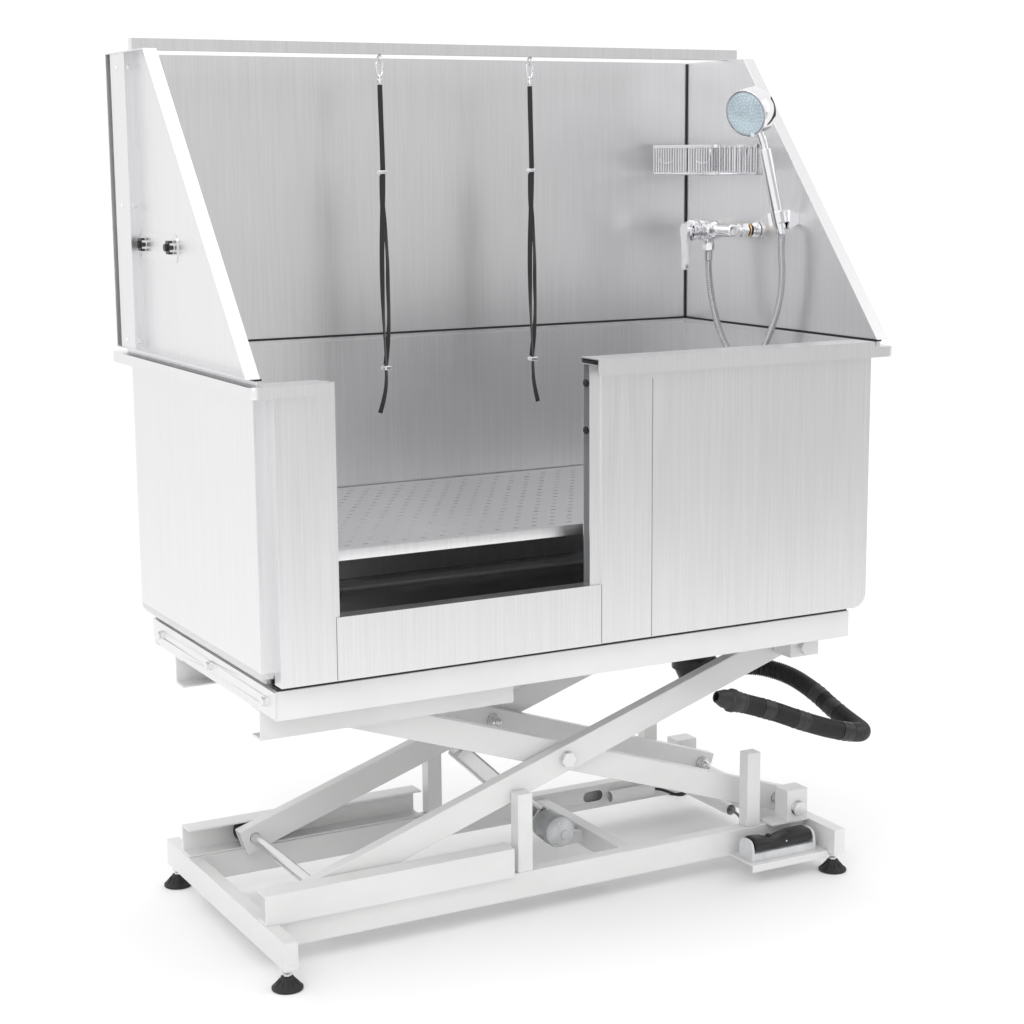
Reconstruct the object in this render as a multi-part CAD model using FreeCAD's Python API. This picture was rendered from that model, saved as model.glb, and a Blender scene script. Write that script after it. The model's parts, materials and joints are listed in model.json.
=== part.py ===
import FreeCAD, Part
import math
import os

# Electric pet-bathing table: a stainless tub with splash walls on a powered scissor lift.
# Millimetres. +Z up, X along the tub, -Y is the door side. Origin: floor point under the rim's centre.

V = FreeCAD.Vector
AXIS_X, AXIS_Y, AXIS_Z = V(1, 0, 0), V(0, 1, 0), V(0, 0, 1)
os.makedirs("parts", exist_ok=True)

# ---- driving dimensions -------------------------------------------------------------------------
SHEET = 2.0                    # stainless sheet and tube walls
RIM_X, RIM_FRONT, RIM_BACK = 635.0, -355.0, 357.5
RIM_TOP, RIM_LIP, CAP_RISE = 1028.0, 19.0, 10.0
TUB_X, TUB_FRONT, TUB_BACK, TUB_BOTTOM = 610.0, -300.0, 315.0, 528.0
TUB_CORNER = 25.0
DOOR_LEFT, DOOR_RIGHT, SILL_TOP = -488.0, 18.0, 639.0
FRAME_FRONT = -330.0           # front face of the door frame
PILLAR_LEFT_EDGE, PILLAR_RIGHT_EDGE, PANEL_RIGHT_EDGE = -587.0, 122.0, 602.0
SPLASH_BOTTOM, SPLASH_TOP, SPLASH_DEPTH = 1039.0, 1567.0, 25.0
SPLASH_FRONT_LOW, SPLASH_FRONT_HIGH, SPLASH_BACK = -336.0, 107.0, 312.0
BAR_Y, BAR_SIZE = (165.0, 185.0), 20.0
GRATE_TOP, GRATE_THICK, GRATE_FRONT, GRATE_SEAM = 738.0, 20.0, -268.0, 431.5

LIFT_Y = -15.0                 # middle plane of the base and scissor
TUBE_H = 50.0                  # height of the frame tubes
BASE_BOTTOM = 39.0
BASE_LEFT, BASE_RIGHT, END_TUBE_W = -590.0, 579.0, 25.0
BASE_HALF_DEPTH, RAIL_IN, RAIL_OUT = 299.0, 172.0, 200.0
TRACK_IN, TRACK_OUT, TRACK_H, TRACK_WALL = 174.0, 214.0, 54.0, 4.0
TRACK_X = (-588.0, -105.0)
INNER_ARM, OUTER_ARM = (119.0, 144.0), (146.0, 171.0)
ARM_LENGTH, ARM_H, ARM_WALL, ARM_END = 1045.0, 50.0, 2.5, 25.0
PIVOT_X, PIVOT_LOW, PIVOT_HIGH = 525.0, 116.0, 445.0
PIN_R, BORE_R, BUSH_R = 10.0, 10.05, 14.0
ROLLER_R = 22.7
TOP_FRAME_BOTTOM = 472.0
TOP_LEFT, TOP_RIGHT, TOP_FRONT, TOP_BACK = -590.0, 580.0, -309.0, 309.0
POST_X, POST_W, POST_TOP = (-90.0, 417.0), 30.0, 237.7
FOOT_Y = (-293.0, 263.0)
FOOT_X = (BASE_LEFT + END_TUBE_W / 2, BASE_RIGHT - END_TUBE_W / 2)

ACTUATOR_FOOT = V(110, LIFT_Y, 62)
ACTUATOR_ARM_REACH = 720.0     # along the inner arm from its fixed pivot, level distance
DRAIN_X, DRAIN_Y = 393.0, -60.0
MIXER_X, MIXER_Y, MIXER_Z = 545.0, 127.0, 1230.0
LEASH_X, LEASH_Y, EYE_Z = (-159.0, 159.0), 175.0, 1559.0

LIFT_RISE = (PIVOT_HIGH - PIVOT_LOW) / 2
LIFT_ANGLE = math.asin(2 * LIFT_RISE / ARM_LENGTH)
LIFT_RUN = ARM_LENGTH / 2 * math.cos(LIFT_ANGLE)
CENTRE_X = PIVOT_X - LIFT_RUN
ROLLER_X = PIVOT_X - 2 * LIFT_RUN
CENTRE_Z = PIVOT_LOW + LIFT_RISE
TOP_FRAME_TOP = TOP_FRAME_BOTTOM + TUBE_H
BASE_TOP = BASE_BOTTOM + TUBE_H


# ---- helpers ------------------------------------------------------------------------------------
def save(name, *shapes):
    """Write one named piece, made of one or more solids."""
    solids = [solid for shape in shapes for solid in shape.Solids]
    piece = solids[0] if len(solids) == 1 else Part.makeCompound(solids)
    piece.exportStep("parts/" + name + ".step")


def slab(x, y, z):
    """A box from its three (low, high) spans."""
    return Part.makeBox(x[1] - x[0], y[1] - y[0], z[1] - z[0], V(x[0], y[0], z[0]))


def hollow(x, y, z, wall=SHEET):
    """A closed sheet box: folded or capped tube."""
    inner = slab((x[0] + wall, x[1] - wall), (y[0] + wall, y[1] - wall), (z[0] + wall, z[1] - wall))
    return slab(x, y, z).cut(inner)


def open_tube(x, y, z, along, wall=2.5):
    """A rectangular tube with open ends along one axis, 'x' or 'y'."""
    grow = {"x": (-1, wall), "y": (wall, -1)}[along]
    inner = slab((x[0] + grow[0], x[1] - grow[0]), (y[0] + grow[1], y[1] - grow[1]),
                 (z[0] + wall, z[1] - wall))
    return slab(x, y, z).cut(inner)


def rod(radius, start, end):
    run = end - start
    return Part.makeCylinder(radius, run.Length, start, run)


def ring(outer, inner, start, end):
    return rod(outer, start, end).cut(rod(inner, start, end))


def cone(r_start, r_end, start, end):
    run = end - start
    return Part.makeCone(r_start, r_end, run.Length, start, run)


def hexagon(across, start, end):
    """A hexagonal bar from start to end."""
    run = end - start
    radius = across / math.sqrt(3)
    corners = [V(radius * math.cos(math.radians(60 * i)), radius * math.sin(math.radians(60 * i)), 0)
               for i in range(7)]
    bar = Part.Face(Part.makePolygon(corners)).extrude(V(0, 0, run.Length))
    bar.Placement = FreeCAD.Placement(start, FreeCAD.Rotation(AXIS_Z, run))
    return bar


def plate(points, thickness_axis, low, high):
    """A flat plate from 2-D points: (y, z) when its thickness runs along X, (x, z) along Y."""
    if thickness_axis == "x":
        corners = [V(low, a, b) for a, b in points]
        run = V(high - low, 0, 0)
    else:
        corners = [V(a, low, b) for a, b in points]
        run = V(0, high - low, 0)
    return Part.Face(Part.makePolygon(corners + corners[:1])).extrude(run)


def sides(near, far):
    """The front and rear (low, high) Y spans at these distances from the lift's middle plane."""
    return [(LIFT_Y - far, LIFT_Y - near), (LIFT_Y + near, LIFT_Y + far)]


def round_edges(shape, radius, chosen):
    return shape.makeFillet(radius, [edge for edge in shape.Edges if chosen(edge)])


def upright(edge):
    a, b = edge.Vertexes[0].Point, edge.Vertexes[-1].Point
    return abs(a.x - b.x) < 0.01 and abs(a.y - b.y) < 0.01


def cord(name, radius, points):
    """A cord as straight runs joined by tangent arcs, each as large as its two runs allow."""
    corners = [V(*point) for point in points]
    edges = []
    radii = []
    last = corners[0]
    for before, corner, after in zip(corners, corners[1:], corners[2:]):
        back, ahead = (before - corner), (after - corner)
        reach = 0.45 * min(back.Length, ahead.Length)
        turn = math.pi - back.getAngle(ahead)
        radii.append(reach / math.tan(turn / 2))
        back.normalize()
        ahead.normalize()
        start, end = corner + back * reach, corner + ahead * reach
        bisector = back + ahead
        bisector.normalize()
        centre_gap = radii[-1] / math.cos(turn / 2)
        middle = corner + bisector * (centre_gap - radii[-1])
        edges.append(Part.LineSegment(last, start).toShape())
        edges.append(Part.Arc(start, middle, end).toShape())
        last = end
    edges.append(Part.LineSegment(last, corners[-1]).toShape())
    path = Part.Wire(edges)
    section = Part.Wire(Part.makeCircle(radius, corners[0], corners[1] - corners[0]))
    tube = path.makePipeShell([section], True, True)
    length = sum(edge.Length for edge in edges)
    fill = tube.Volume / (math.pi * radius ** 2 * length)
    print(name, "length", round(length), "radii", [round(r) for r in radii], "fill", round(fill, 3))
    save(name, tube)


# ---- base frame ---------------------------------------------------------------------------------
BASE_Z = (BASE_BOTTOM, BASE_TOP)
BASE_Y = (LIFT_Y - BASE_HALF_DEPTH, LIFT_Y + BASE_HALF_DEPTH)
CROSS_X = (153.0, 178.0)
STUD_R, STUD_BORE_R, FOOT_R = 5.0, 5.05, 27.0
CONDUIT_R = 12.0


def base_frame():
    end_tubes = []
    for x in ((BASE_LEFT, BASE_LEFT + END_TUBE_W), (BASE_RIGHT - END_TUBE_W, BASE_RIGHT)):
        tube = hollow(x, BASE_Y, BASE_Z, 2.5)
        for y in FOOT_Y:
            middle = (x[0] + x[1]) / 2
            tube = tube.cut(rod(STUD_BORE_R, V(middle, y, BASE_BOTTOM - 1), V(middle, y, BASE_BOTTOM + 4)))
        end_tubes.append(tube)
    save("base_end_tubes", *end_tubes)

    rail_x = (BASE_LEFT + END_TUBE_W, BASE_RIGHT - END_TUBE_W)
    front, rear = [open_tube(rail_x, y, BASE_Z, "x") for y in sides(RAIL_IN, RAIL_OUT)]
    oval_x, oval_z, oval_r = 290.0, 66.0, 11.0
    face = LIFT_Y + RAIL_IN
    oval = slab((oval_x - 12, oval_x + 12), (face - 1, face + 4), (oval_z - oval_r, oval_z + oval_r))
    for x in (oval_x - 12, oval_x + 12):
        oval = oval.fuse(rod(oval_r, V(x, face - 1, oval_z), V(x, face + 4, oval_z)))
    cross = open_tube(CROSS_X, (LIFT_Y - RAIL_IN, LIFT_Y + RAIL_IN), (BASE_BOTTOM + 2, 81), "y")
    save("base_rails", front, rear.cut(oval), cross)


def track(x, y, z, opens_inward_from):
    """A C-channel along X, open on the side towards the lift's middle plane."""
    inner_y = (y[0] + TRACK_WALL, y[1] + 1) if opens_inward_from < LIFT_Y else (y[0] - 1, y[1] - TRACK_WALL)
    return slab(x, y, z).cut(slab((x[0] - 1, x[1] + 1), inner_y, (z[0] + TRACK_WALL, z[1] - TRACK_WALL)))


def tracks(name, z):
    save(name, *[track(TRACK_X, y, z, y[0]) for y in sides(TRACK_IN, TRACK_OUT)])


def stop_posts():
    posts = []
    for y in sides(RAIL_IN + 1, RAIL_OUT):
        for x in POST_X:
            posts.append(hollow((x, x + POST_W), y, (BASE_TOP, POST_TOP)))
    save("stop_posts", *posts)


def pivot_stub(x, y, z, pin_z):
    """A box bracket with a through bore for the pivot bolt."""
    bore = rod(PIN_R + 0.05, V(PIVOT_X, y[0] - 1, pin_z), V(PIVOT_X, y[1] + 1, pin_z))
    sleeve = rod(BUSH_R, V(PIVOT_X, y[0] + 1, pin_z), V(PIVOT_X, y[1] - 1, pin_z))
    return hollow(x, y, z, 3).fuse(sleeve).cut(bore)


def bolt(x, z, head_at, tip_at):
    """A pivot bolt along Y: hex head and washer outside, domed nut and washer inside."""
    way = 1 if tip_at > head_at else -1

    def at(y):
        return V(x, y, z)
    shank = rod(PIN_R, at(head_at), at(tip_at + way * 14))
    parts = [rod(15, at(head_at), at(head_at - way * 2)),
             hexagon(26, at(head_at - way * 2), at(head_at - way * 11)),
             rod(14, at(tip_at + way * 1), at(tip_at + way * 3)),
             hexagon(24, at(tip_at + way * 3), at(tip_at + way * 11)),
             rod(11.5, at(tip_at + way * 11), at(tip_at + way * 14)),
             Part.makeSphere(11.5, at(tip_at + way * 14))]
    for piece in parts:
        shank = shank.fuse(piece)
    return shank.removeSplitter()


def lower_pivots():
    stubs = []
    bolts = []
    near, far = 176.0, 216.0
    for side, y in zip((-1, 1), sides(near, far)):
        stubs.append(pivot_stub((PIVOT_X - 24, PIVOT_X + 24), y, (BASE_TOP + 4, BASE_TOP + 64), PIVOT_LOW))
        stubs.append(slab((PIVOT_X - 62, PIVOT_X + 27), (min(y) - 3, max(y)), (BASE_TOP, BASE_TOP + 4)))
        bolts.append(bolt(PIVOT_X, PIVOT_LOW, LIFT_Y + side * (far + 0.1), LIFT_Y + side * INNER_ARM[0]))
    save("base_pivot_brackets", *stubs, *actuator_clevis())
    nuts = []
    for x in FOOT_X:
        for y in FOOT_Y:
            nut = hexagon(17, V(x, y, BASE_BOTTOM - 7), V(x, y, BASE_BOTTOM))
            nuts.append(nut.cut(rod(STUD_BORE_R, V(x, y, BASE_BOTTOM - 8), V(x, y, BASE_BOTTOM + 1))))
    save("base_fasteners", *bolts, *nuts)


def feet():
    for number, (x, y) in enumerate([(x, y) for x in FOOT_X for y in FOOT_Y], start=1):
        pad = rod(FOOT_R, V(x, y, 0), V(x, y, 5)).fuse(cone(FOOT_R, 11, V(x, y, 5), V(x, y, 20)))
        pad = pad.fuse(rod(11, V(x, y, 20), V(x, y, 23)))
        stud = hexagon(14, V(x, y, 23), V(x, y, 28)).fuse(rod(STUD_R, V(x, y, 23), V(x, y, 72)))
        save("foot_" + str(number), pad, stud)


PEDAL_X, PEDAL_Y, TRAY_Z = (384.0, 533.0), (-282.0, -236.0), 44.0
PEDAL_AXIS_Z = TRAY_Z + 20


def pedal():
    tray = slab((375, 552), (-296, LIFT_Y - RAIL_OUT), (TRAY_Z - 3, TRAY_Z))
    tray = tray.fuse(slab((375, 552), (-296, -293), (TRAY_Z - 15, TRAY_Z)))
    save("pedal_tray", tray)
    middle = (PEDAL_Y[0] + PEDAL_Y[1]) / 2
    x0, x1 = PEDAL_X
    housing = slab(PEDAL_X, PEDAL_Y, (TRAY_Z, TRAY_Z + 16))
    for x in (x0, x1 - 5):
        cheek = slab((x, x + 5), PEDAL_Y, (TRAY_Z, PEDAL_AXIS_Z))
        cheek = cheek.fuse(rod(23, V(x, middle, PEDAL_AXIS_Z - 2), V(x + 5, middle, PEDAL_AXIS_Z - 2)))
        housing = housing.fuse(cheek.common(slab((x, x + 5), PEDAL_Y, (TRAY_Z, TRAY_Z + 60))))
    save("pedal_housing", housing.removeSplitter())

    # The rocker is dished lengthways, so that each end can be pressed.
    top, dish, end_gap = PEDAL_AXIS_Z + 24, 9.0, 8.0
    low = TRAY_Z + 23
    left, right = x0 + end_gap, x1 - end_gap
    outline = [Part.LineSegment(V(left, 0, low), V(left, 0, top)),
               Part.Arc(V(left, 0, top), V((left + right) / 2, 0, top - dish), V(right, 0, top)),
               Part.LineSegment(V(right, 0, top), V(right, 0, low)),
               Part.LineSegment(V(right, 0, low), V(left, 0, low))]
    face = Part.Face(Part.Wire([curve.toShape() for curve in outline]))
    face.translate(V(0, PEDAL_Y[0], 0))
    rocker = face.extrude(V(0, PEDAL_Y[1] - PEDAL_Y[0], 0))
    rocker = round_edges(rocker, 8, lambda e: e.BoundBox.XLength > 50 and e.BoundBox.ZMax > low + 1)
    save("pedal_rocker", rocker)


def conduits():
    rear_face = LIFT_Y + RAIL_IN
    along_x = ring(CONDUIT_R, CONDUIT_R - 1.5, V(322, rear_face - 14, 64), V(426, rear_face - 14, 64))
    along_y = ring(CONDUIT_R, CONDUIT_R - 1.5, V(487, -60, 68), V(487, rear_face, 68))
    saddle = slab((340, 408), (rear_face - 4, rear_face), (60, 68)).cut(
        rod(CONDUIT_R, V(322, rear_face - 14, 64), V(426, rear_face - 14, 64)))
    save("cable_conduits", along_x.fuse(saddle), along_y)


# ---- scissor arms -------------------------------------------------------------------------------
def arm(y, start, end):
    """A rectangular tube between two pivots, bushed for its end and centre pins."""
    run = end - start
    level = open_tube((-ARM_END, run.Length + ARM_END), (0, y[1] - y[0]), (-ARM_H / 2, ARM_H / 2), "x",
                      ARM_WALL)
    for x in (0, run.Length / 2, run.Length):
        level = level.fuse(rod(BUSH_R, V(x, 0, 0), V(x, y[1] - y[0], 0)))
        level = level.cut(rod(BORE_R, V(x, -1, 0), V(x, y[1] - y[0] + 1, 0)))
    level.Placement = FreeCAD.Placement(V(start.x, y[0], start.z),
                                        FreeCAD.Rotation(V(1, 0, 0), V(run.x, 0, run.z)))
    return level


def roller_shaft(x, z):
    reach = TRACK_OUT - TRACK_WALL - 1.5
    return rod(PIN_R, V(x, LIFT_Y - reach, z), V(x, LIFT_Y + reach, z))


def cross_tube():
    """The tube between the inner arms, with the lug and pin that the actuator pushes on."""
    eye = ACTUATOR_EYE
    along = V(-math.cos(LIFT_ANGLE), 0, math.sin(LIFT_ANGLE))
    middle = eye + along * CROSS_TUBE_OFFSET
    across = AXIS_Y * INNER_ARM[0]
    tube = rod(17, middle - across, middle + across)
    lug = slab((0, CROSS_TUBE_OFFSET), (-8, 8), (-12, 12)).fuse(rod(12, V(0, -8, 0), V(0, 8, 0)))
    lug.Placement = FreeCAD.Placement(eye, FreeCAD.Rotation(AXIS_X, along))
    shape = tube.fuse(lug).fuse(rod(LINK_PIN_R, eye - AXIS_Y * 19.5, eye + AXIS_Y * 19.5))
    for side in (-1, 1):
        shape = shape.fuse(rod(16.5, eye + AXIS_Y * (side * 17.4), eye + AXIS_Y * (side * 19.5)))
    return shape.removeSplitter().cut(rod(14.5, middle - across, middle + across))


def scissor():
    low_left, low_right = V(ROLLER_X, 0, PIVOT_LOW), V(PIVOT_X, 0, PIVOT_LOW)
    high_left, high_right = V(ROLLER_X, 0, PIVOT_HIGH), V(PIVOT_X, 0, PIVOT_HIGH)
    save("inner_arms", *[arm(y, high_left, low_right) for y in sides(*INNER_ARM)])
    save("outer_arms", *[arm(y, low_left, high_right) for y in sides(*OUTER_ARM)])

    save("inner_cross_members", cross_tube(), roller_shaft(ROLLER_X, PIVOT_HIGH))
    bolts = [roller_shaft(ROLLER_X, PIVOT_LOW)]
    for side in (-1, 1):
        bolts.append(bolt(CENTRE_X, CENTRE_Z, LIFT_Y + side * (OUTER_ARM[1] + 0.1),
                          LIFT_Y + side * INNER_ARM[0]))
    save("outer_pins", *bolts)
    for level, z in (("lower", PIVOT_LOW), ("upper", PIVOT_HIGH)):
        for place, y in zip(("front", "rear"), sides(178, 206)):
            roller = rod(ROLLER_R, V(ROLLER_X, y[0], z), V(ROLLER_X, y[1], z))
            roller = round_edges(roller, 2, lambda e: e.BoundBox.XLength > 2 * ROLLER_R - 1)
            roller = roller.cut(rod(BORE_R, V(ROLLER_X, y[0] - 1, z), V(ROLLER_X, y[1] + 1, z)))
            save("roller_" + level + "_" + place, roller)


# ---- linear actuator ----------------------------------------------------------------------------
ACTUATOR_EYE = V(PIVOT_X - ACTUATOR_ARM_REACH, LIFT_Y, PIVOT_LOW + ACTUATOR_ARM_REACH * math.tan(LIFT_ANGLE))
ACTUATOR_RUN = ACTUATOR_EYE - ACTUATOR_FOOT
ACTUATOR_TURN = FreeCAD.Rotation(AXIS_X, ACTUATOR_RUN)
PROFILE_HALF, PROFILE_END, ROD_R = 16.0, 308.0, 10.0
ROD_START = 165.0              # inner end of the rod at rest; it retracts 65 mm
CROSS_TUBE_OFFSET = 48.0       # from the actuator eye to the arms' cross tube
LINK_PIN_R, LINK_SLOT_R = 6.0, 14.0


def along_actuator(shape):
    shape.Placement = FreeCAD.Placement(ACTUATOR_FOOT, ACTUATOR_TURN)
    return shape


def actuator():
    """Built along +X from its foot pivot, with Y across, then turned into place."""
    lug = slab((-13, 40), (-8, 8), (-13, 13)).fuse(slab((24, 45), (-20, 20), (-22, 22)))
    gearbox = slab((36, 88), (-22, 22), (-24, 24))
    profile = slab((88, PROFILE_END), (-18, 18), (-PROFILE_HALF, PROFILE_HALF))
    bore = rod(ROD_R + 0.5, V(95, 0, 0), V(PROFILE_END + 1, 0, 0))
    body = lug.fuse(gearbox).fuse(round_edges(profile, 4, lambda e: e.BoundBox.XLength > 100))
    body = body.cut(bore).cut(rod(LINK_PIN_R + 0.05, V(0, -10, 0), V(0, 10, 0)))
    end_cap = ring(15.5, ROD_R + 0.05, V(PROFILE_END, 0, 0), V(PROFILE_END + 6, 0, 0))
    save("actuator_body", along_actuator(body), along_actuator(end_cap))

    motor = rod(29, V(62, -22, 0), V(62, -78, 0)).fuse(rod(31, V(62, -72, 0), V(62, -80, 0)))
    dome = Part.makeSphere(34, V(62, -68, 0)).common(rod(29, V(62, -80, 0), V(62, -110, 0)))
    motor = motor.fuse(dome).fuse(rod(9, V(62, -96, 0), V(62, -103, 0)))
    save("actuator_motor", along_actuator(motor.removeSplitter()))

    # The rod ends in a fork whose holes are wide, since its true path is not quite a fixed ratio.
    reach = ACTUATOR_RUN.Length
    shaft = rod(ROD_R, V(ROD_START, 0, 0), V(reach - 33, 0, 0))
    fork = slab((reach - 36, reach - 26), (-17, 17), (-18, 18))
    for y in ((-17, -11), (11, 17)):
        cheek = slab((reach - 30, reach), y, (-18, 18)).fuse(rod(18, V(reach, y[0], 0), V(reach, y[1], 0)))
        fork = fork.fuse(cheek.cut(rod(LINK_SLOT_R, V(reach, y[0] - 1, 0), V(reach, y[1] + 1, 0))))
    save("actuator_rod", along_actuator(shaft.fuse(fork).removeSplitter()))


def actuator_clevis():
    """Two cheeks on the cross tube and the pin through the actuator's foot."""
    foot = ACTUATOR_FOOT
    clevis = []
    for y in ((-17, -9), (9, 17)):
        span = (LIFT_Y + y[0], LIFT_Y + y[1])
        cheek = slab((foot.x, CROSS_X[0]), span, (foot.z - 13, foot.z + 13))
        cheek = cheek.fuse(rod(13, V(foot.x, span[0], foot.z), V(foot.x, span[1], foot.z)))
        bore = rod(LINK_PIN_R + 0.05, V(foot.x, span[0] - 1, foot.z), V(foot.x, span[1] + 1, foot.z))
        clevis.append(cheek.cut(bore))
    pin = rod(LINK_PIN_R, V(foot.x, LIFT_Y - 19, foot.z), V(foot.x, LIFT_Y + 19, foot.z))
    for side in (-1, 1):
        pin = pin.fuse(rod(9, V(foot.x, LIFT_Y + side * 17.1, foot.z), V(foot.x, LIFT_Y + side * 21, foot.z)))
    return clevis + [pin]


# ---- upper frame --------------------------------------------------------------------------------
def top_frame():
    z = (TOP_FRAME_BOTTOM, TOP_FRAME_TOP)
    side_y = (TOP_FRONT, TOP_BACK)
    rail_x = (TOP_LEFT + END_TUBE_W, TOP_RIGHT - END_TUBE_W)
    ends = [hollow((TOP_LEFT, TOP_LEFT + END_TUBE_W), (TOP_FRONT + 30, TOP_BACK - 30), z),
            hollow((TOP_RIGHT - END_TUBE_W, TOP_RIGHT), (TOP_FRONT + 30, TOP_BACK - 30), z)]
    outer = [hollow((TOP_LEFT, TOP_RIGHT), (side_y[0], side_y[0] + 30), z),
             hollow((TOP_LEFT, TOP_RIGHT), (side_y[1] - 30, side_y[1]), z)]
    inner = [open_tube(rail_x, y, z, "x") for y in sides(TRACK_IN, TRACK_OUT)]
    save("top_frame", *outer, *ends, *inner)
    tracks("top_tracks", (TOP_FRAME_BOTTOM - TRACK_H, TOP_FRAME_BOTTOM))

    pads = []
    for y in ((TOP_FRONT + 2, TOP_FRONT + 28), (TOP_BACK - 28, TOP_BACK - 2)):
        pads.append(slab((TOP_LEFT + 4, TOP_RIGHT - 4), y, (TOP_FRAME_TOP, TUB_BOTTOM)))
    save("tub_pads", *pads)

    stubs = []
    bolts = []
    for side, y in zip((-1, 1), sides(176, 230)):
        stub_z = (TOP_FRAME_BOTTOM - 46, TOP_FRAME_BOTTOM)
        stubs.append(pivot_stub((PIVOT_X - 33, PIVOT_X + 33), y, stub_z, PIVOT_HIGH))
        bolts.append(bolt(PIVOT_X, PIVOT_HIGH, LIFT_Y + side * 230.1, LIFT_Y + side * OUTER_ARM[0]))
    save("top_pivot_brackets", *stubs, *bolts)

    outline = [(-311, 475), (262, 475), (306, 488), (306, 522), (-311, 522)]
    skirt = plate(outline, "x", TOP_LEFT - 3, TOP_LEFT)
    for y in (-272, -5, 256):
        skirt = skirt.fuse(rod(9, V(TOP_LEFT - 3, y, 499), V(TOP_LEFT - 5, y, 499)))
        skirt = skirt.fuse(hexagon(14, V(TOP_LEFT - 5, y, 499), V(TOP_LEFT - 11, y, 499)))
    save("skirt_plate", skirt.removeSplitter())


# ---- tub ----------------------------------------------------------------------------------------
def tub():
    bottom_edges = (lambda e: e.BoundBox.ZMax < TUB_BOTTOM + SHEET + 0.1)
    outer = slab((-TUB_X, TUB_X), (TUB_FRONT, TUB_BACK), (TUB_BOTTOM, RIM_TOP - SHEET))
    inner = slab((-TUB_X + SHEET, TUB_X - SHEET), (TUB_FRONT + SHEET, TUB_BACK - SHEET),
                 (TUB_BOTTOM + SHEET, RIM_TOP + 5))
    shell = round_edges(outer, TUB_CORNER, bottom_edges)
    shell = shell.cut(round_edges(inner, TUB_CORNER - SHEET, bottom_edges))
    far = 2 * TUB_X
    pan_top = TUB_BOTTOM + TUB_CORNER
    drain = rod(45, V(DRAIN_X, DRAIN_Y, TUB_BOTTOM - 1), V(DRAIN_X, DRAIN_Y, TUB_BOTTOM + 5))
    pan = shell.common(slab((-far, far), (-far, far), (TUB_BOTTOM - 1, pan_top))).cut(drain)
    save("tub_pan", pan)
    wall_z = (pan_top, RIM_TOP)
    inside_x = (-TUB_X + SHEET, TUB_X - SHEET)
    left = shell.common(slab((-TUB_X, inside_x[0]), (-far, far), wall_z))
    right = shell.common(slab((inside_x[1], TUB_X), (-far, far), wall_z))
    back = shell.common(slab(inside_x, (TUB_BACK - SHEET, TUB_BACK), wall_z))
    front = shell.common(slab(inside_x, (TUB_FRONT, TUB_FRONT + SHEET), wall_z))
    front_pieces = [front.common(slab((-far, DOOR_LEFT), (-far, far), wall_z)),
                    front.common(slab((DOOR_LEFT, DOOR_RIGHT), (-far, far), (pan_top, SILL_TOP))),
                    front.common(slab((DOOR_RIGHT, far), (-far, far), wall_z))]
    save("tub_walls", left, right, back, *front_pieces)


GUIDE_REACH_LEFT, GUIDE_REACH_RIGHT = 8.0, 22.0     # how far each channel stands into the opening


def door_frame():
    y = (FRAME_FRONT, TUB_FRONT)
    z = (TUB_BOTTOM + 4, RIM_TOP - SHEET)
    panel = hollow((PILLAR_RIGHT_EDGE, PANEL_RIGHT_EDGE), y, z)
    shaped = slab((PILLAR_RIGHT_EDGE, PANEL_RIGHT_EDGE), y, z)
    shaped = round_edges(shaped, 28, lambda e: (e.BoundBox.XMin > PANEL_RIGHT_EDGE - 1
                                                and e.BoundBox.ZMax < z[0] + 1))
    hollow_space = slab((PILLAR_RIGHT_EDGE + SHEET, PANEL_RIGHT_EDGE - 30), (y[0] + SHEET, y[1] - SHEET),
                        (z[0] + SHEET, z[1] - SHEET))
    panel = shaped.cut(hollow_space)
    pillars = [hollow((PILLAR_LEFT_EDGE, DOOR_LEFT), y, z), hollow((DOOR_RIGHT, PILLAR_RIGHT_EDGE), y, z)]
    sill = hollow((DOOR_LEFT, DOOR_RIGHT), y, (z[0], SILL_TOP))
    save("door_frame", *pillars, sill, panel)

    guides = []
    for edge, reach in ((DOOR_RIGHT, -GUIDE_REACH_RIGHT), (DOOR_LEFT, GUIDE_REACH_LEFT)):
        inner_face = edge + math.copysign(SHEET, reach)
        web = sorted((edge, inner_face))
        flange = sorted((edge, edge + reach))
        span = (SILL_TOP, RIM_TOP - SHEET)
        guide = slab(web, (-326, -304), span)
        for y0 in (-326, -306):
            guide = guide.fuse(slab(flange, (y0, y0 + SHEET), span))
        guides.append(guide)
        for height in (912, 994):
            guides.append(rod(5, V(inner_face, -315, height), V(edge + reach, -315, height)))
    save("door_guides", *guides)


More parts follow.
